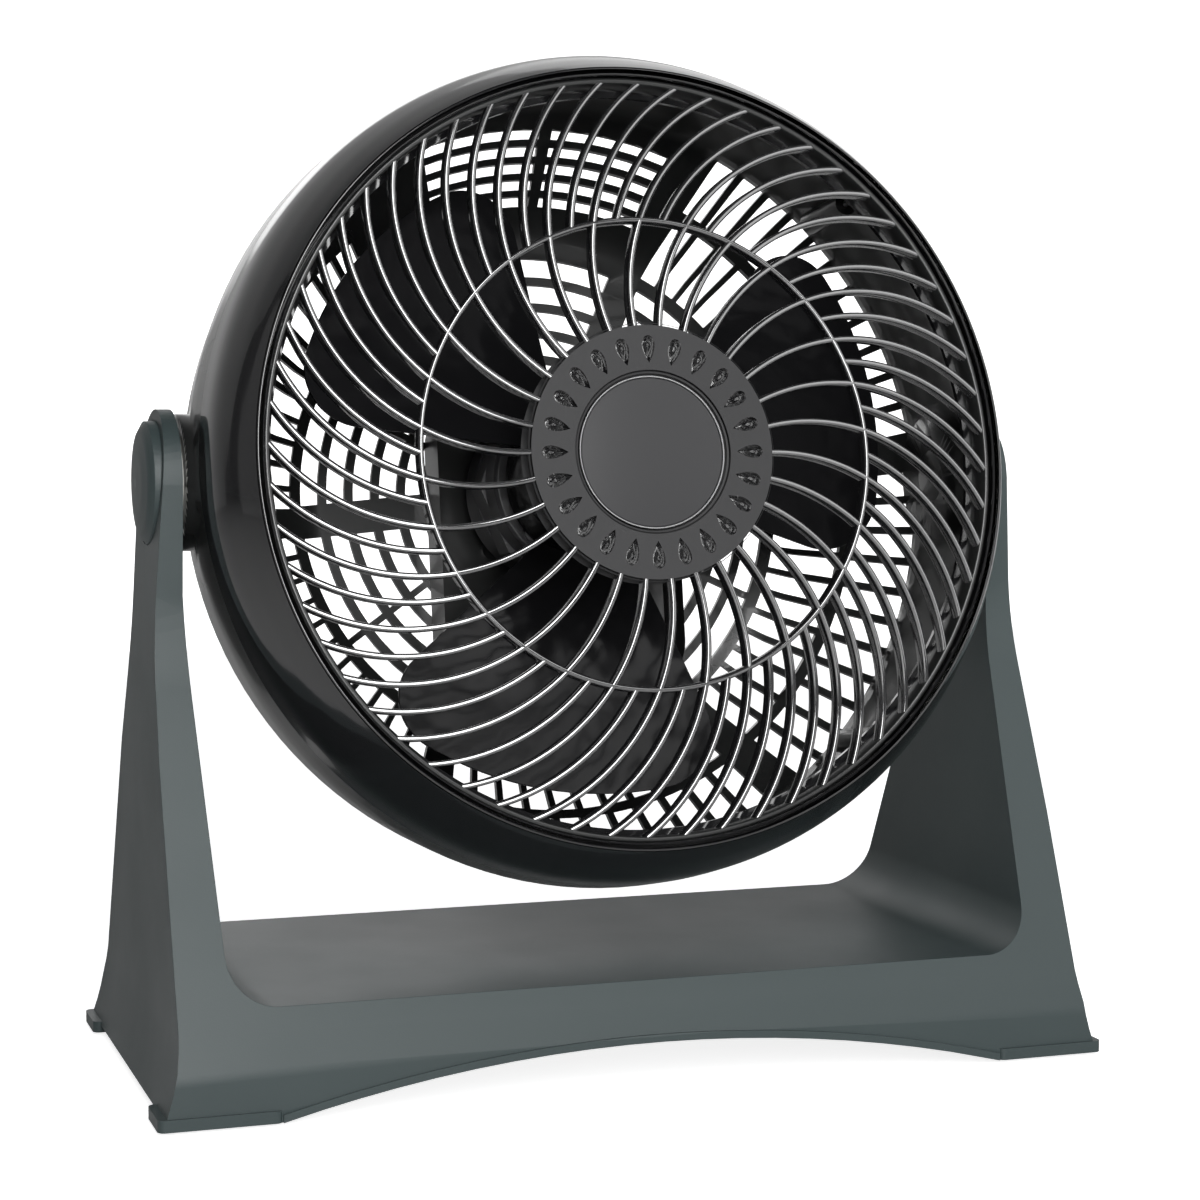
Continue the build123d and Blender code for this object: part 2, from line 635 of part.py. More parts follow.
with BuildPart() as front_ring:
    with BuildSketch(cut):
        # The rounded outer skin.
        with BuildLine():
            outer = rim_line(0)
            inner = rim_line(SHELL_WALL)
            Line(outer @ 0, inner @ 0)
            Line(outer @ 1, inner @ 1)
        make_face()
        # The lip, the mouth's wall and the ledge that the grille's rim sits on.
        with BuildLine():
            Polyline(
                (RIM_LIP_RADIUS + SHELL_WALL / 2, RIM_LIP_AT - SHELL_WALL),
                (RIM_LIP_RADIUS, RIM_LIP_AT),
                (MOUTH_RADIUS, RIM_LIP_AT - RIM_LIP_DROP),
                (MOUTH_RADIUS, ledge_top),
                (MOUTH_RADIUS - LEDGE_WIDTH, ledge_top),
                (MOUTH_RADIUS - LEDGE_WIDTH, ledge_bottom),
                (MOUTH_RADIUS + MOUTH_WALL, ledge_bottom),
                (MOUTH_RADIUS + MOUTH_WALL, RIM_LIP_AT - 2 * SHELL_WALL),
                close=True,
            )
        make_face()
    revolve(axis=fan_axis)
    # Posts that take the housing screws, and slots in the ledge for the grille's clips.
    post_start = SEAM_AT + SEAM_LAP + 1
    pegs(post_start, post_start + RING_POST_LENGTH, HOUSING_POST_RADIUS - 1, *ring_post_circle)
    pegs(post_start, post_start + RING_POST_LENGTH, SMALL_SCREW_RADIUS, *screw_circle, mode=Mode.SUBTRACT)
    with BuildSketch(head.offset(ledge_bottom - 1)):
        with PolarLocations(clip_radius, CLIPS):
            Rectangle(CLIP_THICK + 2 * CLIP_CLEARANCE, CLIP_WIDTH + 2 * CLIP_CLEARANCE)
    extrude(amount=LEDGE_THICK + 2, mode=Mode.SUBTRACT)


# ---------------------------------------------------------------- grille
def rib_edge(shift):
    """One side of a swirled rib: an arc from the hub past the ring to the rim, moved sideways."""
    arc = ThreePointArc(
        polar(GRILLE_HUB_RADIUS - RIB_OVERRUN, -RIB_TURN_AT_HUB),
        polar(GRILLE_RING_RADIUS, -RIB_TURN_AT_RING),
        polar(grille_rim_radius - GRILLE_RIM_WIDTH + RIB_OVERRUN, -RIB_TURN_AT_RIM),
        mode=Mode.PRIVATE,
    )
    return ThreePointArc(*moved_points(arc, shift, 2))


with BuildSketch() as rib_band:
    with BuildLine():
        near = rib_edge(RIB_WIDTH / 2)
        far = rib_edge(-RIB_WIDTH / 2)
        Line(near @ 0, far @ 0)
        Line(near @ 1, far @ 1)
    make_face()

with BuildSketch() as teardrop:
    # A drop that points to the hub's middle: a slim kite with its outer corner cut.
    kite = Polygon(
        (-TEARDROP_LENGTH / 2, 0),
        (TEARDROP_LENGTH / 5, -TEARDROP_WIDTH / 2),
        (TEARDROP_LENGTH / 2, 0),
        (TEARDROP_LENGTH / 5, TEARDROP_WIDTH / 2),
    )
    chamfer(kite.vertices().sort_by(Axis.X)[-1], length=TEARDROP_WIDTH / 5)

with BuildPart() as front_grille:
    rim_inner = grille_rim_radius - GRILLE_RIM_WIDTH
    # The domed web that the ribs are cut from, then its rim and its hub.
    with BuildSketch(cut):
        with BuildLine():
            hub_edge = (GRILLE_HUB_RADIUS, DOME_TOP)
            ring_edge = (GRILLE_RING_RADIUS, ring_face)
            rim_edge = (rim_inner + GRILLE_RIM_WIDTH / 2, rim_face)
            front = Polyline(hub_edge, ring_edge, rim_edge)
            back = offset(front, amount=RIB_DEPTH, side=Side.RIGHT)
        make_face()
    revolve(axis=fan_axis)
    collar(ledge_top, rim_face + GRILLE_RIM_PROUD, grille_rim_radius, rim_inner)
    collar(DOME_TOP - HUB_SKIRT_DEPTH, DOME_TOP, GRILLE_HUB_RADIUS + RIB_WIDTH / 4)
    # Openings: inside the ring, only every other rib runs on to the hub.
    with BuildSketch(head.offset(ledge_top - 1)):
        Circle(rim_inner)
        Circle(GRILLE_RING_RADIUS + GRILLE_RING_WIDTH / 2, mode=Mode.SUBTRACT)
        with PolarLocations(0, INNER_RIBS, start_angle=180 / INNER_RIBS):
            add(rib_band.sketch, mode=Mode.SUBTRACT)
        Circle(GRILLE_RING_RADIUS - GRILLE_RING_WIDTH / 2)
        Circle(GRILLE_HUB_RADIUS, mode=Mode.SUBTRACT)
        with PolarLocations(0, INNER_RIBS):
            add(rib_band.sketch, mode=Mode.SUBTRACT)
    extrude(amount=DOME_TOP - ledge_top + 2, mode=Mode.SUBTRACT)
    # The hub is a flat disc with a skirt, the badge's pocket and a ring of teardrops.
    hub_floor = DOME_TOP - GRILLE_HUB_THICK
    skirt_inner = GRILLE_HUB_RADIUS - HUB_SKIRT_WALL
    collar(DOME_TOP - HUB_SKIRT_DEPTH, hub_floor, skirt_inner, mode=Mode.SUBTRACT)
    badge_floor = DOME_TOP - BADGE_SINK - BADGE_THICK
    collar(badge_floor, DOME_TOP, BADGE_RADIUS + BADGE_CLEARANCE, mode=Mode.SUBTRACT)
    with BuildSketch(head.offset(DOME_TOP - TEARDROP_DEPTH)):
        with PolarLocations(TEARDROP_CENTRE, TEARDROPS):
            add(teardrop.sketch)
    extrude(amount=TEARDROP_DEPTH, mode=Mode.SUBTRACT)
    # Clips under the rim, barbed below the ring's ledge.
    with BuildSketch(head.offset(ledge_top)):
        with PolarLocations(clip_radius, CLIPS):
            Rectangle(CLIP_THICK, CLIP_WIDTH)
    extrude(amount=-(LEDGE_THICK + CLIP_LENGTH))
    with BuildSketch(head.offset(ledge_bottom - CLIP_CLEARANCE)):
        with PolarLocations(clip_radius - CLIP_BARB, CLIPS):
            Rectangle(CLIP_THICK, CLIP_WIDTH)
    extrude(amount=-CLIP_LENGTH + CLIP_CLEARANCE)

with BuildPart() as hub_badge:
    collar(badge_floor, badge_floor + BADGE_THICK, BADGE_RADIUS)
    chamfer(hub_badge.edges().group_by(Axis(pivot, axis_dir))[-1], length=BADGE_EDGE)


# ---------------------------------------------------------------- trunnions
with BuildPart() as right_trunnion:
    # A round plate in the boss, a stem behind it and the spigot that the arm turns on.
    with BuildSketch(right_side.offset(boss_face - PLATE_THICK)):
        Circle(PLATE_RADIUS)
    extrude(amount=PLATE_THICK)
    with BuildSketch(right_side.offset(boss_inner)):
        Circle(SPIGOT_RADIUS)
    extrude(amount=washer_floor - boss_inner)
    with BuildSketch(right_side.offset(washer_floor)):
        Circle(PIVOT_SCREW_RADIUS + HOLE_GAP)
    extrude(amount=-PIVOT_SCREW_LENGTH, mode=Mode.SUBTRACT)
    with Locations(right_side.offset(boss_face)):
        with PolarLocations(TRUNNION_SCREW_PCD_RADIUS, TRUNNION_SCREWS, start_angle=90):
            CounterBoreHole(
                SMALL_SCREW_RADIUS + HOLE_GAP,
                SMALL_SCREW_HEAD + HOLE_GAP,
                SMALL_SCREW_HEAD_THICK,
                PLATE_THICK,
            )

with BuildPart() as left_trunnion:
    add(right_trunnion.part.mirror(Plane.YZ))

with BuildPart() as trunnion_screws:
    for arm in both_sides:
        with BuildSketch(arm.offset(boss_face)):
            with PolarLocations(TRUNNION_SCREW_PCD_RADIUS, TRUNNION_SCREWS, start_angle=90):
                Circle(SMALL_SCREW_HEAD)
        extrude(amount=-SMALL_SCREW_HEAD_THICK)
        with BuildSketch(arm.offset(boss_face)):
            with PolarLocations(TRUNNION_SCREW_PCD_RADIUS, TRUNNION_SCREWS, start_angle=90):
                Circle(SMALL_SCREW_RADIUS)
        extrude(amount=-TRUNNION_SCREW_LENGTH)

with BuildPart() as friction_washers:
    for arm in both_sides:
        with BuildSketch(arm.offset(boss_face + SIDE_GAP / 3)):
            Circle(FRICTION_WASHER_RADIUS)
            Circle(SPIGOT_RADIUS + HOLE_GAP, mode=Mode.SUBTRACT)
        extrude(amount=FRICTION_WASHER_THICK)

with BuildPart() as housing_screws:
    head_at = HOUSING_POST_BACK_AT
    pegs(head_at - SMALL_SCREW_HEAD_THICK, head_at, SMALL_SCREW_HEAD, *screw_circle)
    pegs(head_at, head_at + HOUSING_SCREW_LENGTH, SMALL_SCREW_RADIUS, *screw_circle)


# ---------------------------------------------------------------- motor
with BuildPart() as motor_rear_shell:
    collar(MOTOR_BACK_AT, STATOR_BACK_AT, MOTOR_SHELL_RADIUS)
    chamfer(motor_rear_shell.edges().group_by(fan_axis)[0], length=MOTOR_SHELL_EDGE)
    bearing_back = MOTOR_BACK_AT + MOTOR_SHELL_WALL
    shell_inner = MOTOR_SHELL_RADIUS - MOTOR_SHELL_WALL
    collar(bearing_back, STATOR_BACK_AT, shell_inner, mode=Mode.SUBTRACT)
    collar(bearing_back - 1, bearing_back + BEARING_LENGTH, BEARING_RADIUS + MOTOR_SHELL_WALL)
    collar(bearing_back, bearing_back + BEARING_LENGTH, BEARING_RADIUS, mode=Mode.SUBTRACT)
    pegs(bearing_back - 1, STATOR_BACK_AT, MOTOR_BOLT_RADIUS + MOTOR_SHELL_WALL, *bolt_circle)
    pegs(
        MOTOR_BACK_AT, STATOR_BACK_AT, MOTOR_BOLT_RADIUS + HOLE_GAP, *bolt_circle, mode=Mode.SUBTRACT
    )

with BuildPart() as motor_front_shell:
    collar(STATOR_FRONT_AT, MOTOR_FRONT_AT, MOTOR_SHELL_RADIUS)
    chamfer(motor_front_shell.edges().group_by(fan_axis)[-1], length=MOTOR_SHELL_EDGE)
    bearing_front = MOTOR_FRONT_AT - MOTOR_SHELL_WALL
    collar(STATOR_FRONT_AT, bearing_front, shell_inner, mode=Mode.SUBTRACT)
    collar(bearing_front - BEARING_LENGTH, bearing_front + 1, BEARING_RADIUS + MOTOR_SHELL_WALL)
    collar(bearing_front - BEARING_LENGTH, bearing_front, BEARING_RADIUS, mode=Mode.SUBTRACT)
    collar(bearing_front, MOTOR_FRONT_AT, SHAFT_RADIUS + 1, mode=Mode.SUBTRACT)
    pegs(STATOR_FRONT_AT, bearing_front + 1, MOTOR_BOLT_RADIUS + MOTOR_SHELL_WALL, *bolt_circle)
    pegs(
        STATOR_FRONT_AT, MOTOR_FRONT_AT, MOTOR_BOLT_RADIUS + HOLE_GAP, *bolt_circle, mode=Mode.SUBTRACT
    )

with BuildPart() as stator_core:
    with BuildSketch(head.offset(STATOR_BACK_AT)):
        RegularPolygon(STATOR_RADIUS, STATOR_FLATS)
        Circle(ROTOR_RADIUS + ROTOR_GAP, mode=Mode.SUBTRACT)
        with PolarLocations(MOTOR_PCD_RADIUS, MOTOR_FIXINGS, start_angle=MOTOR_BOLT_PHASE):
            Circle(MOTOR_BOLT_RADIUS + HOLE_GAP, mode=Mode.SUBTRACT)
    extrude(amount=STATOR_FRONT_AT - STATOR_BACK_AT)

with BuildPart() as stator_windings:
    collar(STATOR_BACK_AT - WINDING_LENGTH, STATOR_BACK_AT, WINDING_OUTER, WINDING_INNER)
    collar(STATOR_FRONT_AT, STATOR_FRONT_AT + WINDING_LENGTH, WINDING_OUTER, WINDING_INNER)

with BuildPart() as motor_bearings:
    collar(bearing_back, bearing_back + BEARING_LENGTH, BEARING_RADIUS, SHAFT_RADIUS + RUNNING_GAP)
    collar(bearing_front - BEARING_LENGTH, bearing_front, BEARING_RADIUS, SHAFT_RADIUS + RUNNING_GAP)

with BuildPart() as motor_bolts:
    # Long bolts clamp both shells and the stator to the housing's posts.
    pegs(MOTOR_FRONT_AT, MOTOR_FRONT_AT + MOTOR_BOLT_HEAD_THICK, MOTOR_BOLT_HEAD, *bolt_circle)
    pegs(MOTOR_BACK_AT - MOTOR_BOLT_IN_POST + 1, MOTOR_FRONT_AT, MOTOR_BOLT_RADIUS, *bolt_circle)


# ---------------------------------------------------------------- impeller
with BuildPart() as rotor_core:
    collar(STATOR_BACK_AT + ROTOR_INSET, STATOR_FRONT_AT - ROTOR_INSET, ROTOR_RADIUS, SHAFT_RADIUS)

with BuildPart() as rotor_shaft:
    collar(SHAFT_BACK_AT + MOTOR_SHELL_WALL, SHAFT_FRONT_AT, SHAFT_RADIUS)

blade_turn = 2 * BLADE_TIP_HALF_SPAN / 360
blade_root = FAN_HUB_RADIUS - FAN_HUB_WALL / 2
root_helix = Edge.make_helix(BLADE_PITCH, BLADE_PITCH * blade_turn, blade_root)
tip_helix = Edge.make_helix(BLADE_PITCH, BLADE_PITCH * blade_turn, BLADE_TIP_RADIUS)
blade_sheet = Solid.thicken(Face.make_surface_from_curves(root_helix, tip_helix), BLADE_THICK)

with BuildPart() as blade:
    # A helical sheet, cut to the blade's rounded outline. Local x is the blade's middle.
    add(blade_sheet.rotate(Axis.Z, -BLADE_TIP_HALF_SPAN))
    with BuildSketch(Plane.XY.offset(-BLADE_PITCH)) as outline:
        with BuildLine():
            root_a = polar(blade_root - 1, -BLADE_ROOT_HALF_SPAN)
            root_b = polar(blade_root - 1, BLADE_ROOT_HALF_SPAN)
            tip_a = polar(BLADE_TIP_RADIUS, -BLADE_TIP_HALF_SPAN)
            tip_b = polar(BLADE_TIP_RADIUS, BLADE_TIP_HALF_SPAN)
            Line(root_a, tip_a)
            ThreePointArc(tip_a, (BLADE_TIP_RADIUS, 0), tip_b)
            Line(tip_b, root_b)
            Line(root_b, root_a)
        make_face()
        fillet(outline.vertices().sort_by_distance((0, 0))[2:], radius=BLADE_CORNER)
    extrude(amount=2 * BLADE_PITCH, mode=Mode.INTERSECT)

with BuildPart(head) as fan_blade:
    blade_start = BLADE_MIDDLE_AT - BLADE_PITCH * blade_turn / 2
    with PolarLocations(0, BLADES, start_angle=BLADE_PHASE):
        add(blade.part.translate((0, 0, blade_start)))
    collar(FAN_HUB_BACK_AT, FAN_HUB_FRONT_AT, FAN_HUB_RADIUS)
    collar(
        FAN_HUB_BACK_AT - BLADE_PITCH, FAN_HUB_FRONT_AT - FAN_HUB_WALL, FAN_HUB_RADIUS - FAN_HUB_WALL,
        mode=Mode.SUBTRACT,
    )
    collar(FAN_HUB_BACK_AT, FAN_HUB_FRONT_AT, FAN_BOSS_RADIUS)
    collar(FAN_HUB_BACK_AT, FAN_HUB_FRONT_AT, SHAFT_RADIUS, mode=Mode.SUBTRACT)

with BuildPart() as blade_nut:
    collar(FAN_HUB_FRONT_AT, FAN_HUB_FRONT_AT + NUT_HEIGHT, NUT_RADIUS)
    pegs(
        FAN_HUB_FRONT_AT, FAN_HUB_FRONT_AT + NUT_HEIGHT, NUT_FLUTE_RADIUS, NUT_RADIUS + 0.4, NUT_FLUTES,
        0, mode=Mode.SUBTRACT,
    )
    collar(FAN_HUB_FRONT_AT, SHAFT_FRONT_AT, SHAFT_RADIUS, mode=Mode.SUBTRACT)


# ---------------------------------------------------------------- switch, knob and gland
with BuildPart() as speed_switch:
    with BuildSketch(head.offset(back_inner)):
        Rectangle(SWITCH_WIDTH, SWITCH_HEIGHT)
    extrude(amount=SWITCH_DEPTH)
    collar(BACK_AT - BUSHING_PROUD, back_inner, BUSHING_RADIUS)
    collar(
        BACK_AT - BUSHING_PROUD, back_inner + SWITCH_SHAFT_IN, SWITCH_SHAFT_RADIUS + RUNNING_GAP,
        mode=Mode.SUBTRACT,
    )

with BuildPart() as switch_nut:
    with BuildSketch(head.offset(BACK_AT)):
        RegularPolygon(SWITCH_NUT_RADIUS, 6)
        Circle(BUSHING_RADIUS, mode=Mode.SUBTRACT)
    extrude(amount=-SWITCH_NUT_THICK)

with BuildPart() as switch_shaft:
    collar(shaft_out, back_inner + SWITCH_SHAFT_IN - 1, SWITCH_SHAFT_RADIUS)

with BuildPart() as speed_knob:
    # A round skirt with a raised finger grip across it.
    skirt = KNOB_HEIGHT - KNOB_GRIP_HEIGHT
    collar(knob_back - skirt, knob_back, KNOB_RADIUS)
    with BuildSketch(head.offset(knob_back - skirt)):
        Rectangle(KNOB_GRIP_WIDTH, 2 * KNOB_RADIUS - 2 * KNOB_EDGE)
    extrude(amount=-KNOB_GRIP_HEIGHT)
    collar(knob_back - skirt + KNOB_WALL, knob_back, KNOB_RADIUS - KNOB_WALL, mode=Mode.SUBTRACT)
    collar(shaft_out, knob_back, SWITCH_SHAFT_RADIUS, mode=Mode.SUBTRACT)

with BuildPart() as cord_gland:
    gland = (GLAND_DROP, 1, -90)
    pegs(BACK_AT - GLAND_FLANGE_THICK, BACK_AT, GLAND_FLANGE_RADIUS, *gland)
    pegs(BACK_AT, back_inner, GLAND_NECK_RADIUS, *gland)
    pegs(back_inner, back_inner + GLAND_FLANGE_THICK, GLAND_NECK_RADIUS + 1, *gland)
    pegs(
        BACK_AT - GLAND_FLANGE_THICK, back_inner + GLAND_FLANGE_THICK, GLAND_HOLE_RADIUS, *gland,
        mode=Mode.SUBTRACT,
    )


# ---------------------------------------------------------------- files
pieces = {
    "stand_frame": stand_frame,
    "foot_pads": foot_pads,
    "left_pivot_cap": left_pivot_cap,
    "right_pivot_cap": right_pivot_cap,
    "pivot_washers": pivot_washers,
    "pivot_screws": pivot_screws,
    "front_ring": front_ring,
    "rear_housing": rear_housing,
    "front_grille": front_grille,
    "hub_badge": hub_badge,
    "left_trunnion": left_trunnion,
    "right_trunnion": right_trunnion,
    "trunnion_screws": trunnion_screws,
    "friction_washers": friction_washers,
    "housing_screws": housing_screws,
    "motor_rear_shell": motor_rear_shell,
    "motor_front_shell": motor_front_shell,
    "stator_core": stator_core,
    "stator_windings": stator_windings,
    "motor_bearings": motor_bearings,
    "motor_bolts": motor_bolts,
    "rotor_core": rotor_core,
    "rotor_shaft": rotor_shaft,
    "fan_blade": fan_blade,
    "blade_nut": blade_nut,
    "speed_switch": speed_switch,
    "switch_nut": switch_nut,
    "switch_shaft": switch_shaft,
    "speed_knob": speed_knob,
    "cord_gland": cord_gland,
}
# The head leans forward of the stand. The whole fan moves back so that its box stays centred.
boxes = [block.part.bounding_box() for block in pieces.values()]
lean = min(box.min.Y for box in boxes) + max(box.max.Y for box in boxes)
for name, block in pieces.items():
    save(block, name, round(-lean / 2, 1))
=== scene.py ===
# %% [markdown]
# An air circulator: a round head on two trunnions between the arms of a moulded stand. The packed
# parts come in first and stay where they are. Sections are written in millimetres, but every new
# piece ends in metres in the parts' own frame, so it lands on the part that it dresses.

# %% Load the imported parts
import math
import bmesh
import bpy
from mathutils import Matrix, Vector


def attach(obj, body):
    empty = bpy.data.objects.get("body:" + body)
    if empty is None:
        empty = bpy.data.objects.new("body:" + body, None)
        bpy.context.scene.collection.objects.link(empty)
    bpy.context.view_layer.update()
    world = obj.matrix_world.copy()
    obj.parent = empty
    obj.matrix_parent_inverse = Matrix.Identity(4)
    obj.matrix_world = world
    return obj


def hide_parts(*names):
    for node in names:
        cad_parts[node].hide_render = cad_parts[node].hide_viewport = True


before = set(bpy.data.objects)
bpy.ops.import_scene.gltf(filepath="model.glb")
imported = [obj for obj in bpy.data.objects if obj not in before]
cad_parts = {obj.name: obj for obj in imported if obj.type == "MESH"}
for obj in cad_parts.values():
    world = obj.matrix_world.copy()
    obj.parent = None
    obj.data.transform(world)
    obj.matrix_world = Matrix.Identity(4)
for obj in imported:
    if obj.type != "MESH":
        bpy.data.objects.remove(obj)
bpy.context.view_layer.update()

print("parts:", len(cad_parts))

# %% [markdown]
# The head tips about a line between the arms. Its own frame is easier to model in: x to the
# right, y up the face, z forward along the fan's axis. One matrix brings finished meshes back.

# %% The head's own frame
PIVOT_Y, PIVOT_Z = 0.0039, 0.253
REST_TILT = math.radians(9.4)
ACROSS = Vector((1, 0, 0))
UP_FACE = Vector((0, math.sin(REST_TILT), math.cos(REST_TILT)))
FORWARD = Vector((0, -math.cos(REST_TILT), math.sin(REST_TILT)))
HEAD = Matrix((
    (ACROSS.x, UP_FACE.x, FORWARD.x, 0),
    (ACROSS.y, UP_FACE.y, FORWARD.y, PIVOT_Y),
    (ACROSS.z, UP_FACE.z, FORWARD.z, PIVOT_Z),
    (0, 0, 0, 1),
))
print("pivot:", (0, PIVOT_Y, PIVOT_Z), "tilt:", round(math.degrees(REST_TILT), 2), "degrees")

# %% [markdown]
# New pieces share their last steps. Corners that coincide are merged, faces are made to point
# outwards, and the finished mesh becomes an object at the origin that rides on its body. Nearly
# every form on the head is round, so most pieces are one section, spun about the fan's axis.

# %% Finishing and turning
MM = 0.001
MERGE_WITHIN = 2e-6  # metres, far below any modelled gap


def finish_piece(mesh, name, material, body, place=None, smooth=32):
    """Closes a bmesh into an object that sits at the origin, smooth where faces meet gently."""
    if place is not None:
        bmesh.ops.transform(mesh, matrix=place, verts=mesh.verts)
    bmesh.ops.remove_doubles(mesh, verts=mesh.verts, dist=MERGE_WITHIN)
    bmesh.ops.recalc_face_normals(mesh, faces=mesh.faces)
    data = bpy.data.meshes.new(name)
    mesh.to_mesh(data)
    mesh.free()
    piece = bpy.data.objects.new(name, data)
    bpy.context.scene.collection.objects.link(piece)
    data.materials.append(material)
    data.shade_smooth()
    data.set_sharp_from_angle(angle=math.radians(smooth))
    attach(piece, body)
    print(name, "faces:", len(data.polygons))
    return piece


def turned(points, steps=192, close=True, roundings=()):
    """Spins a section drawn in (radius, height) millimetres about the head's z axis.

    Each rounding is (corner's place in the section, size in millimetres, segments).
    """
    mesh = bmesh.new()
    corners = [mesh.verts.new((r * MM, 0, z * MM)) for r, z in points]
    following = corners[1:] + (corners[:1] if close else [])
    edges = [mesh.edges.new(pair) for pair in zip(corners, following)]
    chosen = {}
    for index, size, segments in roundings:
        chosen.setdefault((size, segments), []).append(corners[index])
    geometry = list(corners) + edges
    for (size, segments), verts in chosen.items():
        made = bmesh.ops.bevel(
            mesh, geom=verts, offset=size * MM, offset_type="OFFSET", segments=segments,
            profile=0.5, affect="VERTICES", material=-1,
        )
        geometry += made["verts"] + made["edges"]
    alive = [part for part in dict.fromkeys(geometry) if part.is_valid]
    bmesh.ops.spin(
        mesh, geom=alive, cent=(0, 0, 0), axis=(0, 0, 1), angle=math.tau,
        steps=steps, use_merge=True, use_duplicate=False,
    )
    return mesh


# %% [markdown]
# Three plastics make up what shows in front: satin grey on the stand, black high gloss on the
# head and a satin charcoal on the hub. None of them is one flat colour. A fine moulded grain and
# a slow mottling are shared, so they are node groups, built once and set in each material.

# %% Shared node groups
MOTTLE_SCALE = 14.0


def group_with(name, inputs, outputs):
    """An empty shader group with its sockets, and the nodes that stand for its two ends."""
    group = bpy.data.node_groups.new(name, "ShaderNodeTree")
    for socket, kind, default in inputs:
        made = group.interface.new_socket(socket, in_out="INPUT", socket_type=kind)
        made.default_value = default
    for socket, kind in outputs:
        group.interface.new_socket(socket, in_out="OUTPUT", socket_type=kind)
    return group, group.nodes.new("NodeGroupInput"), group.nodes.new("NodeGroupOutput")


grain, grain_in, grain_out = group_with(
    "moulded_grain",
    [("Scale", "NodeSocketFloat", 900.0), ("Strength", "NodeSocketFloat", 0.5)],
    [("Height", "NodeSocketFloat")],
)
where = grain.nodes.new("ShaderNodeTexCoord")
fine = grain.nodes.new("ShaderNodeTexNoise")
fine.inputs["Detail"].default_value = 3.0
fine.inputs["Roughness"].default_value = 0.6
lift = grain.nodes.new("ShaderNodeMath")
lift.operation = "MULTIPLY"
grain.links.new(where.outputs["Object"], fine.inputs["Vector"])
grain.links.new(grain_in.outputs["Scale"], fine.inputs["Scale"])
grain.links.new(fine.outputs["Fac"], lift.inputs[0])
grain.links.new(grain_in.outputs["Strength"], lift.inputs[1])
grain.links.new(lift.outputs[0], grain_out.inputs["Height"])

mottle, mottle_in, mottle_out = group_with(
    "slow_mottle",
    [
        ("Colour", "NodeSocketColor", (0.1, 0.1, 0.1, 1)),
        ("Other", "NodeSocketColor", (0.12, 0.12, 0.12, 1)),
        ("Scale", "NodeSocketFloat", MOTTLE_SCALE),
        ("Rough low", "NodeSocketFloat", 0.3),
        ("Rough high", "NodeSocketFloat", 0.4),
    ],
    [("Colour", "NodeSocketColor"), ("Roughness", "NodeSocketFloat")],
)
where = mottle.nodes.new("ShaderNodeTexCoord")
slow = mottle.nodes.new("ShaderNodeTexNoise")
slow.inputs["Detail"].default_value = 4.0
mix = mottle.nodes.new("ShaderNodeMix")
mix.data_type = "RGBA"
span = mottle.nodes.new("ShaderNodeMapRange")
span.inputs["From Min"].default_value = 0.3
span.inputs["From Max"].default_value = 0.7
mottle.links.new(where.outputs["Object"], slow.inputs["Vector"])
mottle.links.new(mottle_in.outputs["Scale"], slow.inputs["Scale"])
mottle.links.new(slow.outputs["Fac"], mix.inputs["Factor"])
mottle.links.new(mottle_in.outputs["Colour"], mix.inputs["A"])
mottle.links.new(mottle_in.outputs["Other"], mix.inputs["B"])
mottle.links.new(slow.outputs["Fac"], span.inputs["Value"])
mottle.links.new(mottle_in.outputs["Rough low"], span.inputs["To Min"])
mottle.links.new(mottle_in.outputs["Rough high"], span.inputs["To Max"])
mottle.links.new(mix.outputs["Result"], mottle_out.inputs["Colour"])
mottle.links.new(span.outputs["Result"], mottle_out.inputs["Roughness"])
print("node groups:", [group.name for group in (grain, mottle)])

# %% [markdown]
# Every finish is one recipe with its own numbers: two near colours and two near roughnesses for
# the mottling to move between, and a grain as large as the real surface's. Most of the blacks get
# a clear coat on top, as polished mouldings look. Metals and paints follow the same recipe.

# %% Materials of the object
COAT_ROUGHNESS = 0.05


def moulded(name, colour, other, rough, grain_size=900.0, grain_strength=0.5, metallic=0.0,
            coat=0.0, bump=0.00004, specular=0.5, coat_ior=1.5):
    """A material from both groups: two near colours, two near roughnesses and a grain.

    grain_size is the noise scale per metre, and bump is the grain's depth in metres.
    """
    material = bpy.data.materials.new(name)
    material.use_nodes = True
    nodes, links = material.node_tree.nodes, material.node_tree.links
    shader = nodes["Principled BSDF"]
    shader.inputs["Metallic"].default_value = metallic
    shader.inputs["Coat Weight"].default_value = coat
    shader.inputs["Coat Roughness"].default_value = COAT_ROUGHNESS
    shader.inputs["Coat IOR"].default_value = coat_ior
    shader.inputs["Specular IOR Level"].default_value = specular
    tone = nodes.new("ShaderNodeGroup")
    tone.node_tree = mottle
    tone.inputs["Colour"].default_value = (*colour, 1)
    tone.inputs["Other"].default_value = (*other, 1)
    tone.inputs["Scale"].default_value = MOTTLE_SCALE
    tone.inputs["Rough low"].default_value = rough[0]
    tone.inputs["Rough high"].default_value = rough[1]
    skin = nodes.new("ShaderNodeGroup")
    skin.node_tree = grain
    skin.inputs["Scale"].default_value = grain_size
    skin.inputs["Strength"].default_value = grain_strength
    relief = nodes.new("ShaderNodeBump")
    relief.inputs["Distance"].default_value = bump
    links.new(tone.outputs["Colour"], shader.inputs["Base Color"])
    links.new(tone.outputs["Roughness"], shader.inputs["Roughness"])
    links.new(skin.outputs["Height"], relief.inputs["Height"])
    links.new(relief.outputs["Normal"], shader.inputs["Normal"])
    return material


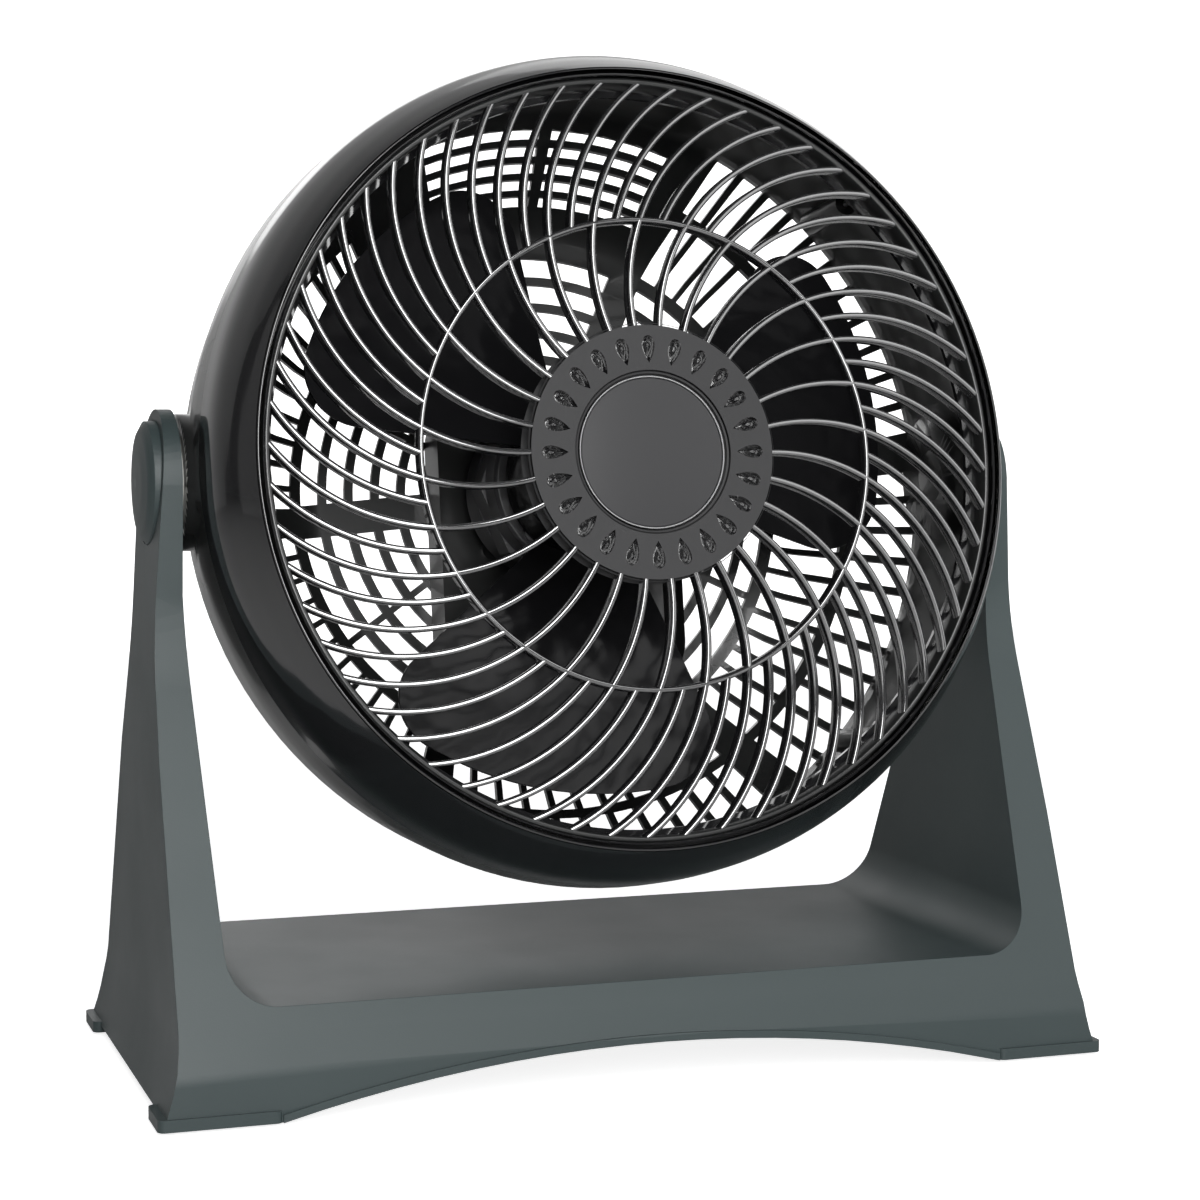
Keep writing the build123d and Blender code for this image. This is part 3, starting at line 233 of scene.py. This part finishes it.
STAND_GREY = moulded("stand_satin_grey", (0.031, 0.044, 0.045), (0.035, 0.049, 0.050), (0.42, 0.5),
                     grain_size=1400, grain_strength=0.6, bump=0.00006, specular=0.4)
GLOSS_BLACK = moulded("gloss_black", (0.008, 0.008, 0.0085), (0.011, 0.011, 0.012), (0.09, 0.14),
                      grain_size=260, grain_strength=0.25, bump=0.00003, coat=0.6, specular=0.6)
GRILLE_BLACK = moulded("grille_black", (0.010, 0.010, 0.011), (0.014, 0.014, 0.015), (0.12, 0.17),
                       grain_size=500, grain_strength=0.3, bump=0.00003, coat=1.0, specular=1.0,
                       coat_ior=2.2)
BLADE_BLACK = moulded("blade_black", (0.005, 0.005, 0.0055), (0.007, 0.007, 0.0077), (0.09, 0.2),
                      grain_size=14, grain_strength=1.0, bump=0.0034, specular=0.045)
DROP_BLACK = moulded("drop_black", (0.004, 0.004, 0.0045), (0.006, 0.006, 0.0065), (0.03, 0.05),
                     grain_size=400, grain_strength=1.0, bump=0.0006, specular=0.8, coat=1.0)
BACK_BLACK = moulded("back_black", (0.010, 0.0105, 0.0105), (0.014, 0.0145, 0.0145), (0.26, 0.34),
                     grain_size=1000, grain_strength=0.5, bump=0.00004, coat=0.3)
HUB_GREY = moulded("hub_satin", (0.028, 0.028, 0.029), (0.034, 0.034, 0.035), (0.52, 0.6),
                   grain_size=1800, grain_strength=0.8, bump=0.00006, specular=0.25)
BADGE_GREY = moulded("badge_satin", (0.033, 0.033, 0.0345), (0.037, 0.037, 0.0385), (0.34, 0.38),
                     grain_size=2600, grain_strength=0.5, bump=0.00003, specular=0.25)
# Painted highlight: the bead round the medallion is a real chamfer, but its pale grey stands in for
# the light along it, so it is bright all round.
PAINTED_HIGHLIGHT_GREY = moulded("bead_painted_highlight", (0.55, 0.55, 0.56), (0.62, 0.62, 0.63), (0.3, 0.38),
                      metallic=0.2)
ZINC = moulded("zinc", (0.42, 0.42, 0.43), (0.52, 0.52, 0.52), (0.3, 0.45), metallic=1.0)
STEEL = moulded("ground_steel", (0.5, 0.5, 0.5), (0.58, 0.58, 0.58), (0.2, 0.3), metallic=1.0)
LAMINATED = moulded("lamination", (0.12, 0.12, 0.125), (0.17, 0.17, 0.17), (0.45, 0.6),
                    metallic=0.8)
MOTOR_PAINT = moulded("motor_paint", (0.03, 0.03, 0.032), (0.04, 0.04, 0.042), (0.35, 0.45))
COPPER = moulded("enamelled_copper", (0.4, 0.15, 0.06), (0.5, 0.2, 0.08), (0.3, 0.4), metallic=0.9)
BRONZE = moulded("sintered_bronze", (0.35, 0.22, 0.1), (0.42, 0.27, 0.13), (0.5, 0.6), metallic=0.8)
RUBBER = moulded("pad_rubber", (0.012, 0.012, 0.012), (0.018, 0.018, 0.018), (0.75, 0.85))
NYLON = moulded("washer_nylon", (0.5, 0.5, 0.47), (0.55, 0.55, 0.52), (0.4, 0.5))

node_looks = {
    "stand_frame": STAND_GREY, "foot_pads": RUBBER,
    "left_pivot_cap": STAND_GREY, "right_pivot_cap": STAND_GREY,
    "pivot_washers": ZINC, "pivot_screws": ZINC, "front_ring": GLOSS_BLACK,
    "rear_housing": BACK_BLACK, "front_grille": GRILLE_BLACK, "hub_badge": BADGE_GREY,
    "left_trunnion": BACK_BLACK, "right_trunnion": BACK_BLACK, "trunnion_screws": ZINC,
    "friction_washers": NYLON, "housing_screws": ZINC, "motor_rear_shell": MOTOR_PAINT,
    "motor_front_shell": MOTOR_PAINT, "stator_core": LAMINATED, "stator_windings": COPPER,
    "motor_bearings": BRONZE, "motor_bolts": ZINC, "rotor_core": LAMINATED, "rotor_shaft": STEEL,
    "fan_blade": BLADE_BLACK, "blade_nut": GLOSS_BLACK, "speed_switch": BACK_BLACK,
    "switch_nut": ZINC, "switch_shaft": BACK_BLACK, "speed_knob": GLOSS_BLACK,
    "cord_gland": BACK_BLACK,
}
for node, look in node_looks.items():
    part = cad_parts[node]
    part.data.materials.clear()
    part.data.materials.append(look)
print("materials:", len(bpy.data.materials))

# %% [markdown]
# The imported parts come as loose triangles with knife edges, which real mouldings don't have. A
# part whose form is right is copied and merged, and a narrow bevel rounds the copy's edges. The
# copy takes the part's place, and the part itself is left alone.

# %% Copies with rounded edges
FLAT_WITHIN = 1.2  # degrees between triangles of one panel
SMOOTH_BELOW = 34  # degrees between faces that shade as one


def rounded_edges(piece, width, sharp):
    """A narrow bevel in millimetres on every edge that is sharper than an angle in degrees."""
    bevel = piece.modifiers.new("rounded", "BEVEL")
    bevel.width = width * MM
    bevel.segments = 2
    bevel.limit_method = "ANGLE"
    bevel.angle_limit = math.radians(sharp)
    return bevel


def merged_copy(node, name, material, body, panels=False):
    """A merged copy of a part that takes its place, its panels dissolved back to flat if asked."""
    mesh = bmesh.new()
    mesh.from_mesh(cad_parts[node].data)
    bmesh.ops.remove_doubles(mesh, verts=mesh.verts, dist=MERGE_WITHIN)
    if panels:
        bmesh.ops.dissolve_limit(
            mesh, angle_limit=math.radians(FLAT_WITHIN), use_dissolve_boundaries=False,
            verts=mesh.verts, edges=mesh.edges, delimit=set(),
        )
    piece = finish_piece(mesh, name, material, body, smooth=SMOOTH_BELOW)
    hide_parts(node)
    return piece


# %% [markdown]
# The stand is one moulding of flat panels, and from the side it stands like an A. Its triangles
# are dissolved back into those panels. The long rims down the arms are rounded widely and every
# other edge narrowly, because those roundings are what catches the light.

# %% Stand
# Height and half depth in metres, from the foot to the pivot.
SIDE_VIEW = [(0.024, 0.0963), (0.169, 0.036), (0.207, 0.0285), (0.253, 0.031)]
SKIN_WITHIN = 0.0006
RIM_ROUNDING = 3.6
RIM_SHARPER_THAN = math.radians(25)
RIMS_ABOVE = 0.03  # metres; the foot below keeps its narrow edges


def skin_half_depth(z):
    """Half the stand's depth at a height, both in metres: the A of its side view."""
    for (low, at_low), (high, at_high) in zip(SIDE_VIEW, SIDE_VIEW[1:]):
        if low <= z <= high:
            return at_low + (at_high - at_low) * (z - low) / (high - low)
    return 0.0


def lies_on_skin(vert):
    return abs(abs(vert.co.y - PIVOT_Y) - skin_half_depth(vert.co.z)) < SKIN_WITHIN


stand = merged_copy("stand_frame", "stand_shell", STAND_GREY, "stand", panels=True)
mesh = bmesh.new()
mesh.from_mesh(stand.data)
rims = []
for edge in mesh.edges:
    sharp = len(edge.link_faces) == 2 and edge.calc_face_angle() > RIM_SHARPER_THAN
    high = min(v.co.z for v in edge.verts) > RIMS_ABOVE
    if sharp and high and all(lies_on_skin(v) for v in edge.verts):
        rims.append(edge)
bmesh.ops.bevel(mesh, geom=rims, offset=RIM_ROUNDING * MM, offset_type="OFFSET", segments=5,
                profile=0.5, affect="EDGES", clamp_overlap=True, material=-1)
mesh.to_mesh(stand.data)
mesh.free()
stand.data.shade_smooth()
stand.data.set_sharp_from_angle(angle=math.radians(SMOOTH_BELOW))
rounded_edges(stand, 0.8, sharp=32)
even = stand.modifiers.new("even_panels", "WEIGHTED_NORMAL")
even.keep_sharp = True
even.weight = 80
print("rounded rims:", len(rims))

# %% [markdown]
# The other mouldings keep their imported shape. Copies with merged corners shade smoothly across
# their many narrow facets, and a hairline bevel gives each edge the light line that real ones have.

# %% Smooth copies of the other mouldings
for node, look, body, width in (
    ("rear_housing", BACK_BLACK, "head", 0),
    ("fan_blade", BLADE_BLACK, "impeller", 0.5),
    ("left_pivot_cap", STAND_GREY, "stand", 0.5),
    ("right_pivot_cap", STAND_GREY, "stand", 0.5),
    ("left_trunnion", BACK_BLACK, "head", 0.4),
    ("right_trunnion", BACK_BLACK, "head", 0.4),
    ("speed_knob", GLOSS_BLACK, "knob", 0.8),
    ("motor_front_shell", MOTOR_PAINT, "head", 0.5),
    ("blade_nut", GLOSS_BLACK, "impeller", 0.5),
):
    skin = merged_copy(node, node + "_skin", look, body)
    if width:
        rounded_edges(skin, width, sharp=28).harden_normals = True

# %% [markdown]
# The ring round the mouth is turned from one section: one even outer curve through five given
# points, a narrow lip, and the wall that the grille drops into. Spinning a section keeps the
# highlight lines true.

# %% Front ring
def curve_through(points, share=6):
    """Points of one even curve that passes through all the given ones."""
    guides = [2 * Vector(points[0]) - Vector(points[1]), *map(Vector, points),
              2 * Vector(points[-1]) - Vector(points[-2])]
    curve = []
    for before, start, end, after in zip(guides, guides[1:], guides[2:], guides[3:]):
        for step in range(share):
            t = step / share
            curve.append(tuple(0.5 * (2 * start + (end - before) * t
                                      + (2 * before - 5 * start + 4 * end - after) * t ** 2
                                      + (3 * start - before - 3 * end + after) * t ** 3)))
    return curve + [tuple(points[-1])]


outer_curve = curve_through(
    [(179.4, 36.0), (177.2, 52.0), (172.4, 65.0), (167.9, 74.0), (164.0, 80.6)])
ring_section = outer_curve + [
    (161.0, 79.4), (161.0, 64.4), (155.5, 64.4), (155.5, 62.0), (163.2, 62.0), (163.2, 75.4),
    (170.2, 63.6), (175.0, 51.2), (176.8, 36.0),
]
tip = len(outer_curve) - 1
ring_mesh = turned(ring_section, roundings=[(tip, 0.6, 3), (tip + 1, 0.8, 3)])
ring = finish_piece(ring_mesh, "mouth_ring", GLOSS_BLACK, "head", HEAD, smooth=40)
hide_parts("front_ring")

# %% [markdown]
# Behind the blades the motor sits in a black tray with round corners, which closes the middle of
# the guard. It starts as one square, its corners are rounded and it is drawn up. The top is inset
# by the wall and pushed down again.

# %% Motor tray
TRAY_HALF_WIDTH, TRAY_HALF_HEIGHT, TRAY_DEPTH = 58, 67, 22
TRAY_MIDDLE = Vector((4, -23, -69.3))
TRAY_CORNER, TRAY_WALL, TRAY_FLOOR = 20, 2.4, 2
tray = bmesh.new()
bmesh.ops.create_grid(tray, x_segments=1, y_segments=1, size=1)
bmesh.ops.scale(tray, vec=(TRAY_HALF_WIDTH * MM, TRAY_HALF_HEIGHT * MM, 1), verts=tray.verts)
bmesh.ops.translate(tray, vec=TRAY_MIDDLE * MM, verts=tray.verts)
bmesh.ops.bevel(tray, geom=list(tray.verts), offset=TRAY_CORNER * MM, offset_type="OFFSET",
                segments=8, profile=0.5, affect="VERTICES", material=-1)
drawn = bmesh.ops.extrude_face_region(tray, geom=list(tray.faces), use_keep_orig=True)
lifted = [part for part in drawn["geom"] if isinstance(part, bmesh.types.BMVert)]
bmesh.ops.translate(tray, vec=(0, 0, TRAY_DEPTH * MM), verts=lifted)
mouth = [part for part in drawn["geom"] if isinstance(part, bmesh.types.BMFace)]
bmesh.ops.inset_region(tray, faces=mouth, thickness=TRAY_WALL * MM, depth=0)
inside = list({vert for face in mouth for vert in face.verts})
bmesh.ops.translate(tray, vec=(0, 0, (TRAY_FLOOR - TRAY_DEPTH) * MM), verts=inside)
tray = finish_piece(tray, "motor_tray", BACK_BLACK, "head", HEAD, smooth=40)

# %% [markdown]
# Every rib of the grille sweeps sideways on its way out, and its middle line is part of a circle.
# Three points measured on one rib fix that circle, and where it crosses the hub, the ring and the
# rim tells how far round its centre each part of the rib runs.

# %% The sweep of a rib
HUB_R, RING_R, RIM_R = 53.5, 98.3, 158.35
HUB_Z, RING_Z, RIM_Z = 89.0, 85.6, 76.2


def on_circle(radius, angle):
    turn = math.radians(angle)
    return Vector((radius * math.cos(turn), radius * math.sin(turn), 0))


rib_start, rib_middle = on_circle(50.5, -0.4), on_circle(RING_R, -6.5)
rib_end = on_circle(161.35, -27.4)
first, second = rib_middle - rib_start, rib_end - rib_start
cross = first.cross(second)
rib_centre = rib_start + (second.length_squared * cross.cross(first)
                          + first.length_squared * second.cross(cross)) / (2 * cross.length_squared)
rib_radius = (rib_start - rib_centre).length
print("a rib's circle:", round(rib_radius, 1), "mm about", tuple(round(v, 1) for v in rib_centre))


def turn_at(radius):
    """Where the rib's circle crosses a radius of the grille: an angle round the rib's centre."""
    reach = rib_centre.length
    along = (reach ** 2 + rib_radius ** 2 - radius ** 2) / (2 * reach * rib_radius)
    toward = math.atan2(-rib_centre.y, -rib_centre.x)
    side = math.copysign(math.acos(along), cross.z)
    return toward + side


# %% [markdown]
# The ribs have a low crown in front, which draws one thin white line down each of them. One rib is
# a small section, spun about the centre of its own circle while it drops with the dome. The others
# are turned copies. Half of the ribs that reach the rim begin at the middle ring.

# %% Grille ribs
RIB_W, RIB_D = 2.4, 6.0
INNER_RIBS, OUTER_RIBS = 30, 60


def rib(from_radius, from_z, to_radius, to_z, steps):
    """One rib between two radii, its front edge on the dome."""
    mesh = bmesh.new()
    start, end = turn_at(from_radius), turn_at(to_radius)
    if abs(end - start) > math.pi:
        end += math.copysign(2 * math.pi, start - end)
    outward = Vector((math.cos(start), math.sin(start), 0))
    nose = rib_centre + outward * rib_radius
    half = RIB_W / 2
    one_side = [(half, -RIB_D), (half, -0.75), (half * 0.8, -0.3), (half * 0.3, -0.03)]
    outline = [(-x, z) for x, z in one_side] + one_side[::-1]
    verts = [mesh.verts.new((nose + outward * x + Vector((0, 0, from_z + z))) * MM)
             for x, z in outline]
    face = mesh.faces.new(verts)
    bmesh.ops.spin(
        mesh, geom=[face] + list(face.edges) + verts, cent=rib_centre * MM, axis=(0, 0, 1),
        angle=end - start, dvec=(0, 0, (to_z - from_z) / steps * MM), steps=steps,
        use_duplicate=False,
    )
    return mesh


def all_round(mesh, count):
    """Turned copies of everything in a mesh, spread evenly about the fan's axis."""
    original = list(mesh.verts) + list(mesh.edges) + list(mesh.faces)
    for copy in range(1, count):
        made = bmesh.ops.duplicate(mesh, geom=original)
        verts = [part for part in made["geom"] if isinstance(part, bmesh.types.BMVert)]
        turn = Matrix.Rotation(math.radians(360 / count * copy), 3, "Z")
        bmesh.ops.rotate(mesh, verts=verts, cent=(0, 0, 0), matrix=turn)
    return mesh


inner_ribs = all_round(rib(HUB_R - 1, HUB_Z, RING_R, RING_Z, steps=14), INNER_RIBS)
outer_ribs = all_round(rib(RING_R, RING_Z, RIM_R + 1, RIM_Z, steps=20), OUTER_RIBS)
print("ribs:", INNER_RIBS, "inside the ring and", OUTER_RIBS, "outside")

# %% [markdown]
# The middle ring has the ribs' depth and gloss, so it is one piece with them. The rim that they
# run into is satin, and a piece of its own. Both are spun sections, written from the ring's and
# the rim's own radius and height.

# %% Middle ring and rim
RING_SECTION = [(-1.2, -RIB_D), (-1.2, -1.0), (-0.8, -0.2), (0, 0.1), (0.8, -0.2), (1.2, -1.0),
                (1.2, -RIB_D)]
RIM_SECTION = [(0, -12.0), (0, -0.2), (0.65, 0.4), (1.75, 0.4), (2.4, -0.2), (2.4, -12.0)]


def joined(*meshes):
    """Several meshes as one, through a scratch data block each."""
    whole = bmesh.new()
    for mesh in meshes:
        scratch = bpy.data.meshes.new("scratch")
        mesh.to_mesh(scratch)
        mesh.free()
        whole.from_mesh(scratch)
        bpy.data.meshes.remove(scratch)
    return whole


middle_ring = turned([(RING_R + across, RING_Z + up) for across, up in RING_SECTION], steps=180)
outer_rim = turned([(RIM_R + across, RIM_Z + up) for across, up in RIM_SECTION])
grille = finish_piece(joined(inner_ribs, outer_ribs, middle_ring), "swirl_grille",
                      GRILLE_BLACK, "head", HEAD, smooth=50)
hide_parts("front_grille")
rim = finish_piece(outer_rim, "grille_rim", BACK_BLACK, "head", HEAD, smooth=50)

# %% [markdown]
# The hub is a satin disc that closes the grille's middle, with a rounded edge and a shallow pocket
# for the medallion. Its front is filled between the two round borders and the outlines of
# twenty-four drops, so each drop is a true hole that a bowl of another finish can sit in.

# %% Hub disc
HUB_STEPS = 144
FACE_OUTER_R, FACE_INNER_R = 53.0, 34.2
DROPS, DROP_HALF_LENGTH, DROP_HALF_WIDTH, DROP_MIDDLE_R, DROP_DEEPEST_AT = 24, 5.8, 2.8, 42.9, 1.6
outside = turned(
    [(FACE_OUTER_R, HUB_Z), (54.1, 88.2), (54.1, 78.0), (51.1, 78.0), (51.1, 83.5), (0.0, 83.5)],
    steps=HUB_STEPS, close=False, roundings=[(1, 0.6, 3)])
inside = turned(
    [(FACE_INNER_R, HUB_Z), (33.2, 88.4), (31.9, 88.0), (31.9, 85.0), (0.0, 85.0)],
    steps=HUB_STEPS, close=False, roundings=[(1, 0.4, 3)])


def drop_loop(angle, scale, z, points=26):
    """A drop's outline that points to the middle, scaled about the deepest spot."""
    widest = 0.77  # the largest value of sin(t) sin(t / 2)
    corners = []
    for step in range(points):
        t = math.tau * step / points
        along = -math.cos(t) * DROP_HALF_LENGTH
        wide = math.sin(t) * math.sin(t / 2) * DROP_HALF_WIDTH / widest
        reach = DROP_MIDDLE_R + DROP_DEEPEST_AT + (along - DROP_DEEPEST_AT) * scale
        spot = Vector((reach, wide * scale, z))
        corners.append(Matrix.Rotation(math.radians(angle), 3, "Z") @ spot * MM)
    return corners


def loop_of(mesh, corners):
    """A closed loop of new corners and the edges between them."""
    verts = [mesh.verts.new(corner) for corner in corners]
    return verts, [mesh.edges.new(pair) for pair in zip(verts, verts[1:] + verts[:1])]


top = bmesh.new()
borders = []
for radius in (FACE_INNER_R, FACE_OUTER_R):
    around = [(on_circle(radius, 360 / HUB_STEPS * step) + Vector((0, 0, HUB_Z))) * MM
              for step in range(HUB_STEPS)]
    borders += loop_of(top, around)[1]
for drop in range(DROPS):
    borders += loop_of(top, drop_loop(360 / DROPS * drop, 1.0, HUB_Z))[1]
bmesh.ops.triangle_fill(top, use_beauty=True, use_dissolve=False, edges=borders, normal=(0, 0, 1))
hub = finish_piece(joined(outside, inside, top), "hub_disc", HUB_GREY, "head", HEAD)

# %% [markdown]
# Each drop is a pressed, glossy bowl with a low boss in it. Its outline is drawn five times, each
# smaller and at another height, and the loops are bridged. The first loop is the hole's own, so
# the bowl meets the disc without a gap.

# %% Pressed drops
BOWL = ((1.0, HUB_Z), (0.93, 87.6), (0.72, 86.9), (0.45, 87.3), (0.2, 88.2))
drops = bmesh.new()
for drop in range(DROPS):
    rings = [loop_of(drops, drop_loop(360 / DROPS * drop, scale, z)) for scale, z in BOWL]
    for (_, edges), (_, next_edges) in zip(rings, rings[1:]):
        bmesh.ops.bridge_loops(drops, edges=edges + next_edges)
    drops.faces.new(rings[-1][0])
drops = finish_piece(drops, "hub_drops", DROP_BLACK, "head", HEAD, smooth=40)

# %% [markdown]
# The round cover in the pocket is left bare: a shallow satin dome with a thin bead round it. The
# bead is a real chamfer, and its pale grey is a painted highlight that keeps it bright all round.
# Both are spun sections, and eight even bands keep the dome's shading free of steps.

# %% Medallion and bead
MEDALLION_R, MEDALLION_RISE, MEDALLION_BANDS, MEDALLION_STEPS = 30.7, 1.5, 8, 120
shares = [band / MEDALLION_BANDS for band in range(MEDALLION_BANDS, -1, -1)]
dome = [(MEDALLION_R * share, HUB_Z - MEDALLION_RISE * share ** 2) for share in shares]
badge_mesh = turned([(0.0, 85.2), (31.4, 85.2), (31.4, 86.9)] + dome, steps=MEDALLION_STEPS,
                    close=False)
badge = finish_piece(badge_mesh, "medallion", BADGE_GREY, "head", HEAD, smooth=20)
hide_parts("hub_badge")
# The bead's pale grey is a painted highlight, not light from the lamps.
bead_mesh = turned([(31.5, 87.0), (31.35, 87.7), (31.6, 88.0), (31.88, 87.8), (31.9, 87.0)],
                   steps=MEDALLION_STEPS)
bead = finish_piece(bead_mesh, "medallion_bead", PAINTED_HIGHLIGHT_GREY, "head", HEAD, smooth=60)

# %% [markdown]
# The studio is plain, with a pale floor and a white backdrop. White made with more light would
# bleach the object, so both sheets glow instead. The floor glows for the camera alone: it stays
# white, adds no light and still takes the fan's shadow.

# %% Floor
scene = bpy.context.scene
scene.view_settings.view_transform = "Standard"
FLOOR_GLOW, FLOOR_REACH = 0.82, 6.0


def flat_sheet(name, material, half_width, half_height, place=(0, 0, 0), raised=0):
    """One flat sheet of the studio, raised about the x axis by an angle in degrees."""
    mesh = bmesh.new()
    bmesh.ops.create_grid(mesh, x_segments=1, y_segments=1, size=1)
    bmesh.ops.scale(mesh, vec=(half_width, half_height, 1), verts=mesh.verts)
    bmesh.ops.rotate(mesh, verts=mesh.verts, cent=(0, 0, 0),
                     matrix=Matrix.Rotation(math.radians(raised), 3, "X"))
    bmesh.ops.translate(mesh, vec=place, verts=mesh.verts)
    data = bpy.data.meshes.new(name)
    mesh.to_mesh(data)
    mesh.free()
    data.materials.append(material)
    sheet = bpy.data.objects.new(name, data)
    scene.collection.objects.link(sheet)
    return sheet


def studio_white(name, roughness):
    """A matt white that glows, and the glow's strength is left to be linked."""
    material = bpy.data.materials.new(name)
    material.use_nodes = True
    shader = material.node_tree.nodes["Principled BSDF"]
    shader.inputs["Base Color"].default_value = (0.8, 0.8, 0.8, 1)
    shader.inputs["Roughness"].default_value = roughness
    shader.inputs["Specular IOR Level"].default_value = 0.0
    shader.inputs["Emission Color"].default_value = (1, 1, 1, 1)
    return material, material.node_tree.nodes, material.node_tree.links, shader


def math_node(nodes, operation):
    made = nodes.new("ShaderNodeMath")
    made.operation = operation
    return made


floor_white, nodes, links, shader = studio_white("studio_floor", 0.9)
rays = nodes.new("ShaderNodeLightPath")
lit = math_node(nodes, "MULTIPLY")
lit.inputs[1].default_value = FLOOR_GLOW
links.new(rays.outputs["Is Camera Ray"], lit.inputs[0])
links.new(lit.outputs[0], shader.inputs["Emission Strength"])
floor = flat_sheet("floor", floor_white, FLOOR_REACH, FLOOR_REACH)
print("floor:", 2 * FLOOR_REACH, "m square")

# %% [markdown]
# The backdrop is white to the camera. In reflections only a round patch of it is, as a studio
# flash on a wall gives, so gloss surfaces get one bright edge and stay dark elsewhere.

# %% Backdrop
BACKDROP_Y, BACKDROP_HALF_WIDTH, BACKDROP_HALF_HEIGHT = 1.8, 3.0, 1.5
PATCH_MIDDLE = (0.12, BACKDROP_Y, 0.8)
PATCH_R, PATCH_FADED_R = 0.36, 0.52
PATCH_PEAK = 1.7  # cut off at 1, which keeps the patch full a little past PATCH_R
WALL_DIM, WALL_BRIGHT = 0.04, 1.1


def ranged(nodes, values):
    """A Map Range node with some of its sockets set."""
    made = nodes.new("ShaderNodeMapRange")
    for socket, value in values.items():
        made.inputs[socket].default_value = value
    return made


wall_white, nodes, links, shader = studio_white("backdrop_glow", 1.0)
paths = nodes.new("ShaderNodeLightPath")
where = nodes.new("ShaderNodeTexCoord")
far = nodes.new("ShaderNodeVectorMath")
far.operation = "DISTANCE"
far.inputs[1].default_value = PATCH_MIDDLE
patch = ranged(nodes, {"From Min": PATCH_R, "From Max": PATCH_FADED_R,
                       "To Min": PATCH_PEAK, "To Max": 0.0})
mirrored = math_node(nodes, "MULTIPLY")
either = math_node(nodes, "MAXIMUM")
strength = ranged(nodes, {"To Min": WALL_DIM, "To Max": WALL_BRIGHT})
links.new(where.outputs["Object"], far.inputs[0])
links.new(far.outputs["Value"], patch.inputs["Value"])
links.new(paths.outputs["Is Glossy Ray"], mirrored.inputs[0])
links.new(patch.outputs["Result"], mirrored.inputs[1])
links.new(paths.outputs["Is Camera Ray"], either.inputs[0])
links.new(mirrored.outputs[0], either.inputs[1])
links.new(either.outputs[0], strength.inputs["Value"])
links.new(strength.outputs["Result"], shader.inputs["Emission Strength"])
wall = flat_sheet("backdrop", wall_white, BACKDROP_HALF_WIDTH, BACKDROP_HALF_HEIGHT,
                  place=(0, BACKDROP_Y, BACKDROP_HALF_HEIGHT), raised=90)
print("backdrop:", 2 * BACKDROP_HALF_WIDTH, "by", 2 * BACKDROP_HALF_HEIGHT, "m")

# %% [markdown]
# The world is white to the camera, dim in reflections and dimmer still as light, so that nothing
# but the panels shapes the object.

# %% World
DIM_AS_LIGHT, DIM_MIRRORED = 0.04, 0.05
world = bpy.data.worlds.new("studio")
scene.world = world
world.use_nodes = True
air = world.node_tree
air.nodes.clear()
ways = air.nodes.new("ShaderNodeLightPath")
sky, seen = (air.nodes.new("ShaderNodeBackground") for _ in range(2))
for background in (sky, seen):
    background.inputs["Color"].default_value = (1, 1, 1, 1)
seen.inputs["Strength"].default_value = 1.0
dim = ranged(air.nodes, {"To Min": DIM_AS_LIGHT, "To Max": DIM_MIRRORED})
both = air.nodes.new("ShaderNodeMixShader")
last = air.nodes.new("ShaderNodeOutputWorld")
air.links.new(ways.outputs["Is Glossy Ray"], dim.inputs["Value"])
air.links.new(dim.outputs["Result"], sky.inputs["Strength"])
air.links.new(ways.outputs["Is Camera Ray"], both.inputs["Fac"])
air.links.new(sky.outputs[0], both.inputs[1])
air.links.new(seen.outputs[0], both.inputs[2])
air.links.new(both.outputs[0], last.inputs["Surface"])
print("world nodes:", len(air.nodes))

# %% [markdown]
# Four soft panels light the object: a tall one in front on the left, a wider and weaker one on the
# right that the ribs mirror, a faint fill from the left side and one from behind for the back.

# %% Lamps
for name, place, aim, width, height, power in (
    ("key_left", (-0.30, -1.76, 0.95), (-0.1, 0, 0.22), 0.8, 1.7, 43),
    ("key_right", (1.22, -1.42, 0.95), (0.1, 0, 0.22), 1.3, 1.7, 13),
    ("side_left", (-1.9, -0.3, 0.8), (0, 0, 0.3), 2.4, 1.6, 2.2),
    ("back_fill", (1.0, 1.6, 1.1), (0, 0, 0.2), 2.4, 1.6, 6),
):
    lamp = bpy.data.lights.new(name, "AREA")
    lamp.shape = "RECTANGLE"
    lamp.size, lamp.size_y, lamp.energy = width, height, power
    rig = bpy.data.objects.new(name, lamp)
    scene.collection.objects.link(rig)
    rig.location = place
    rig.visible_camera = False
    rig.rotation_euler = (Vector(aim) - Vector(place)).to_track_quat("-Z", "Y").to_euler()
    print(name, power, "W,", width, "by", height, "m")

# %% [markdown]
# The camera repeats the photograph's view, from in front, some twenty degrees to the left and just
# above the grille's middle. Its place, lens, roll and shift were fitted to measured points.

# %% Camera
CAMERA_PLACE = (-0.3806, -1.10915, 0.29445)
CAMERA_AIM = (0, PIVOT_Y, 0.2)
CAMERA_ROLL = math.radians(0.23)
camera_data = bpy.data.cameras.new("camera")
camera = bpy.data.objects.new("camera", camera_data)
scene.collection.objects.link(camera)
camera.location = CAMERA_PLACE
view_line = Vector(CAMERA_AIM) - camera.location
roll = Matrix.Rotation(CAMERA_ROLL, 3, "Z")
camera.rotation_euler = (view_line.to_track_quat("-Z", "Y").to_matrix() @ roll).to_euler()
camera_data.sensor_width = 36.0
camera_data.lens = 79.3
camera_data.shift_x = 0.0130
camera_data.shift_y = -0.0015
camera_data.clip_end = 50
scene.camera = camera
print("camera to pivot:", round((camera.location - Vector((0, PIVOT_Y, PIVOT_Z))).length, 3), "m")
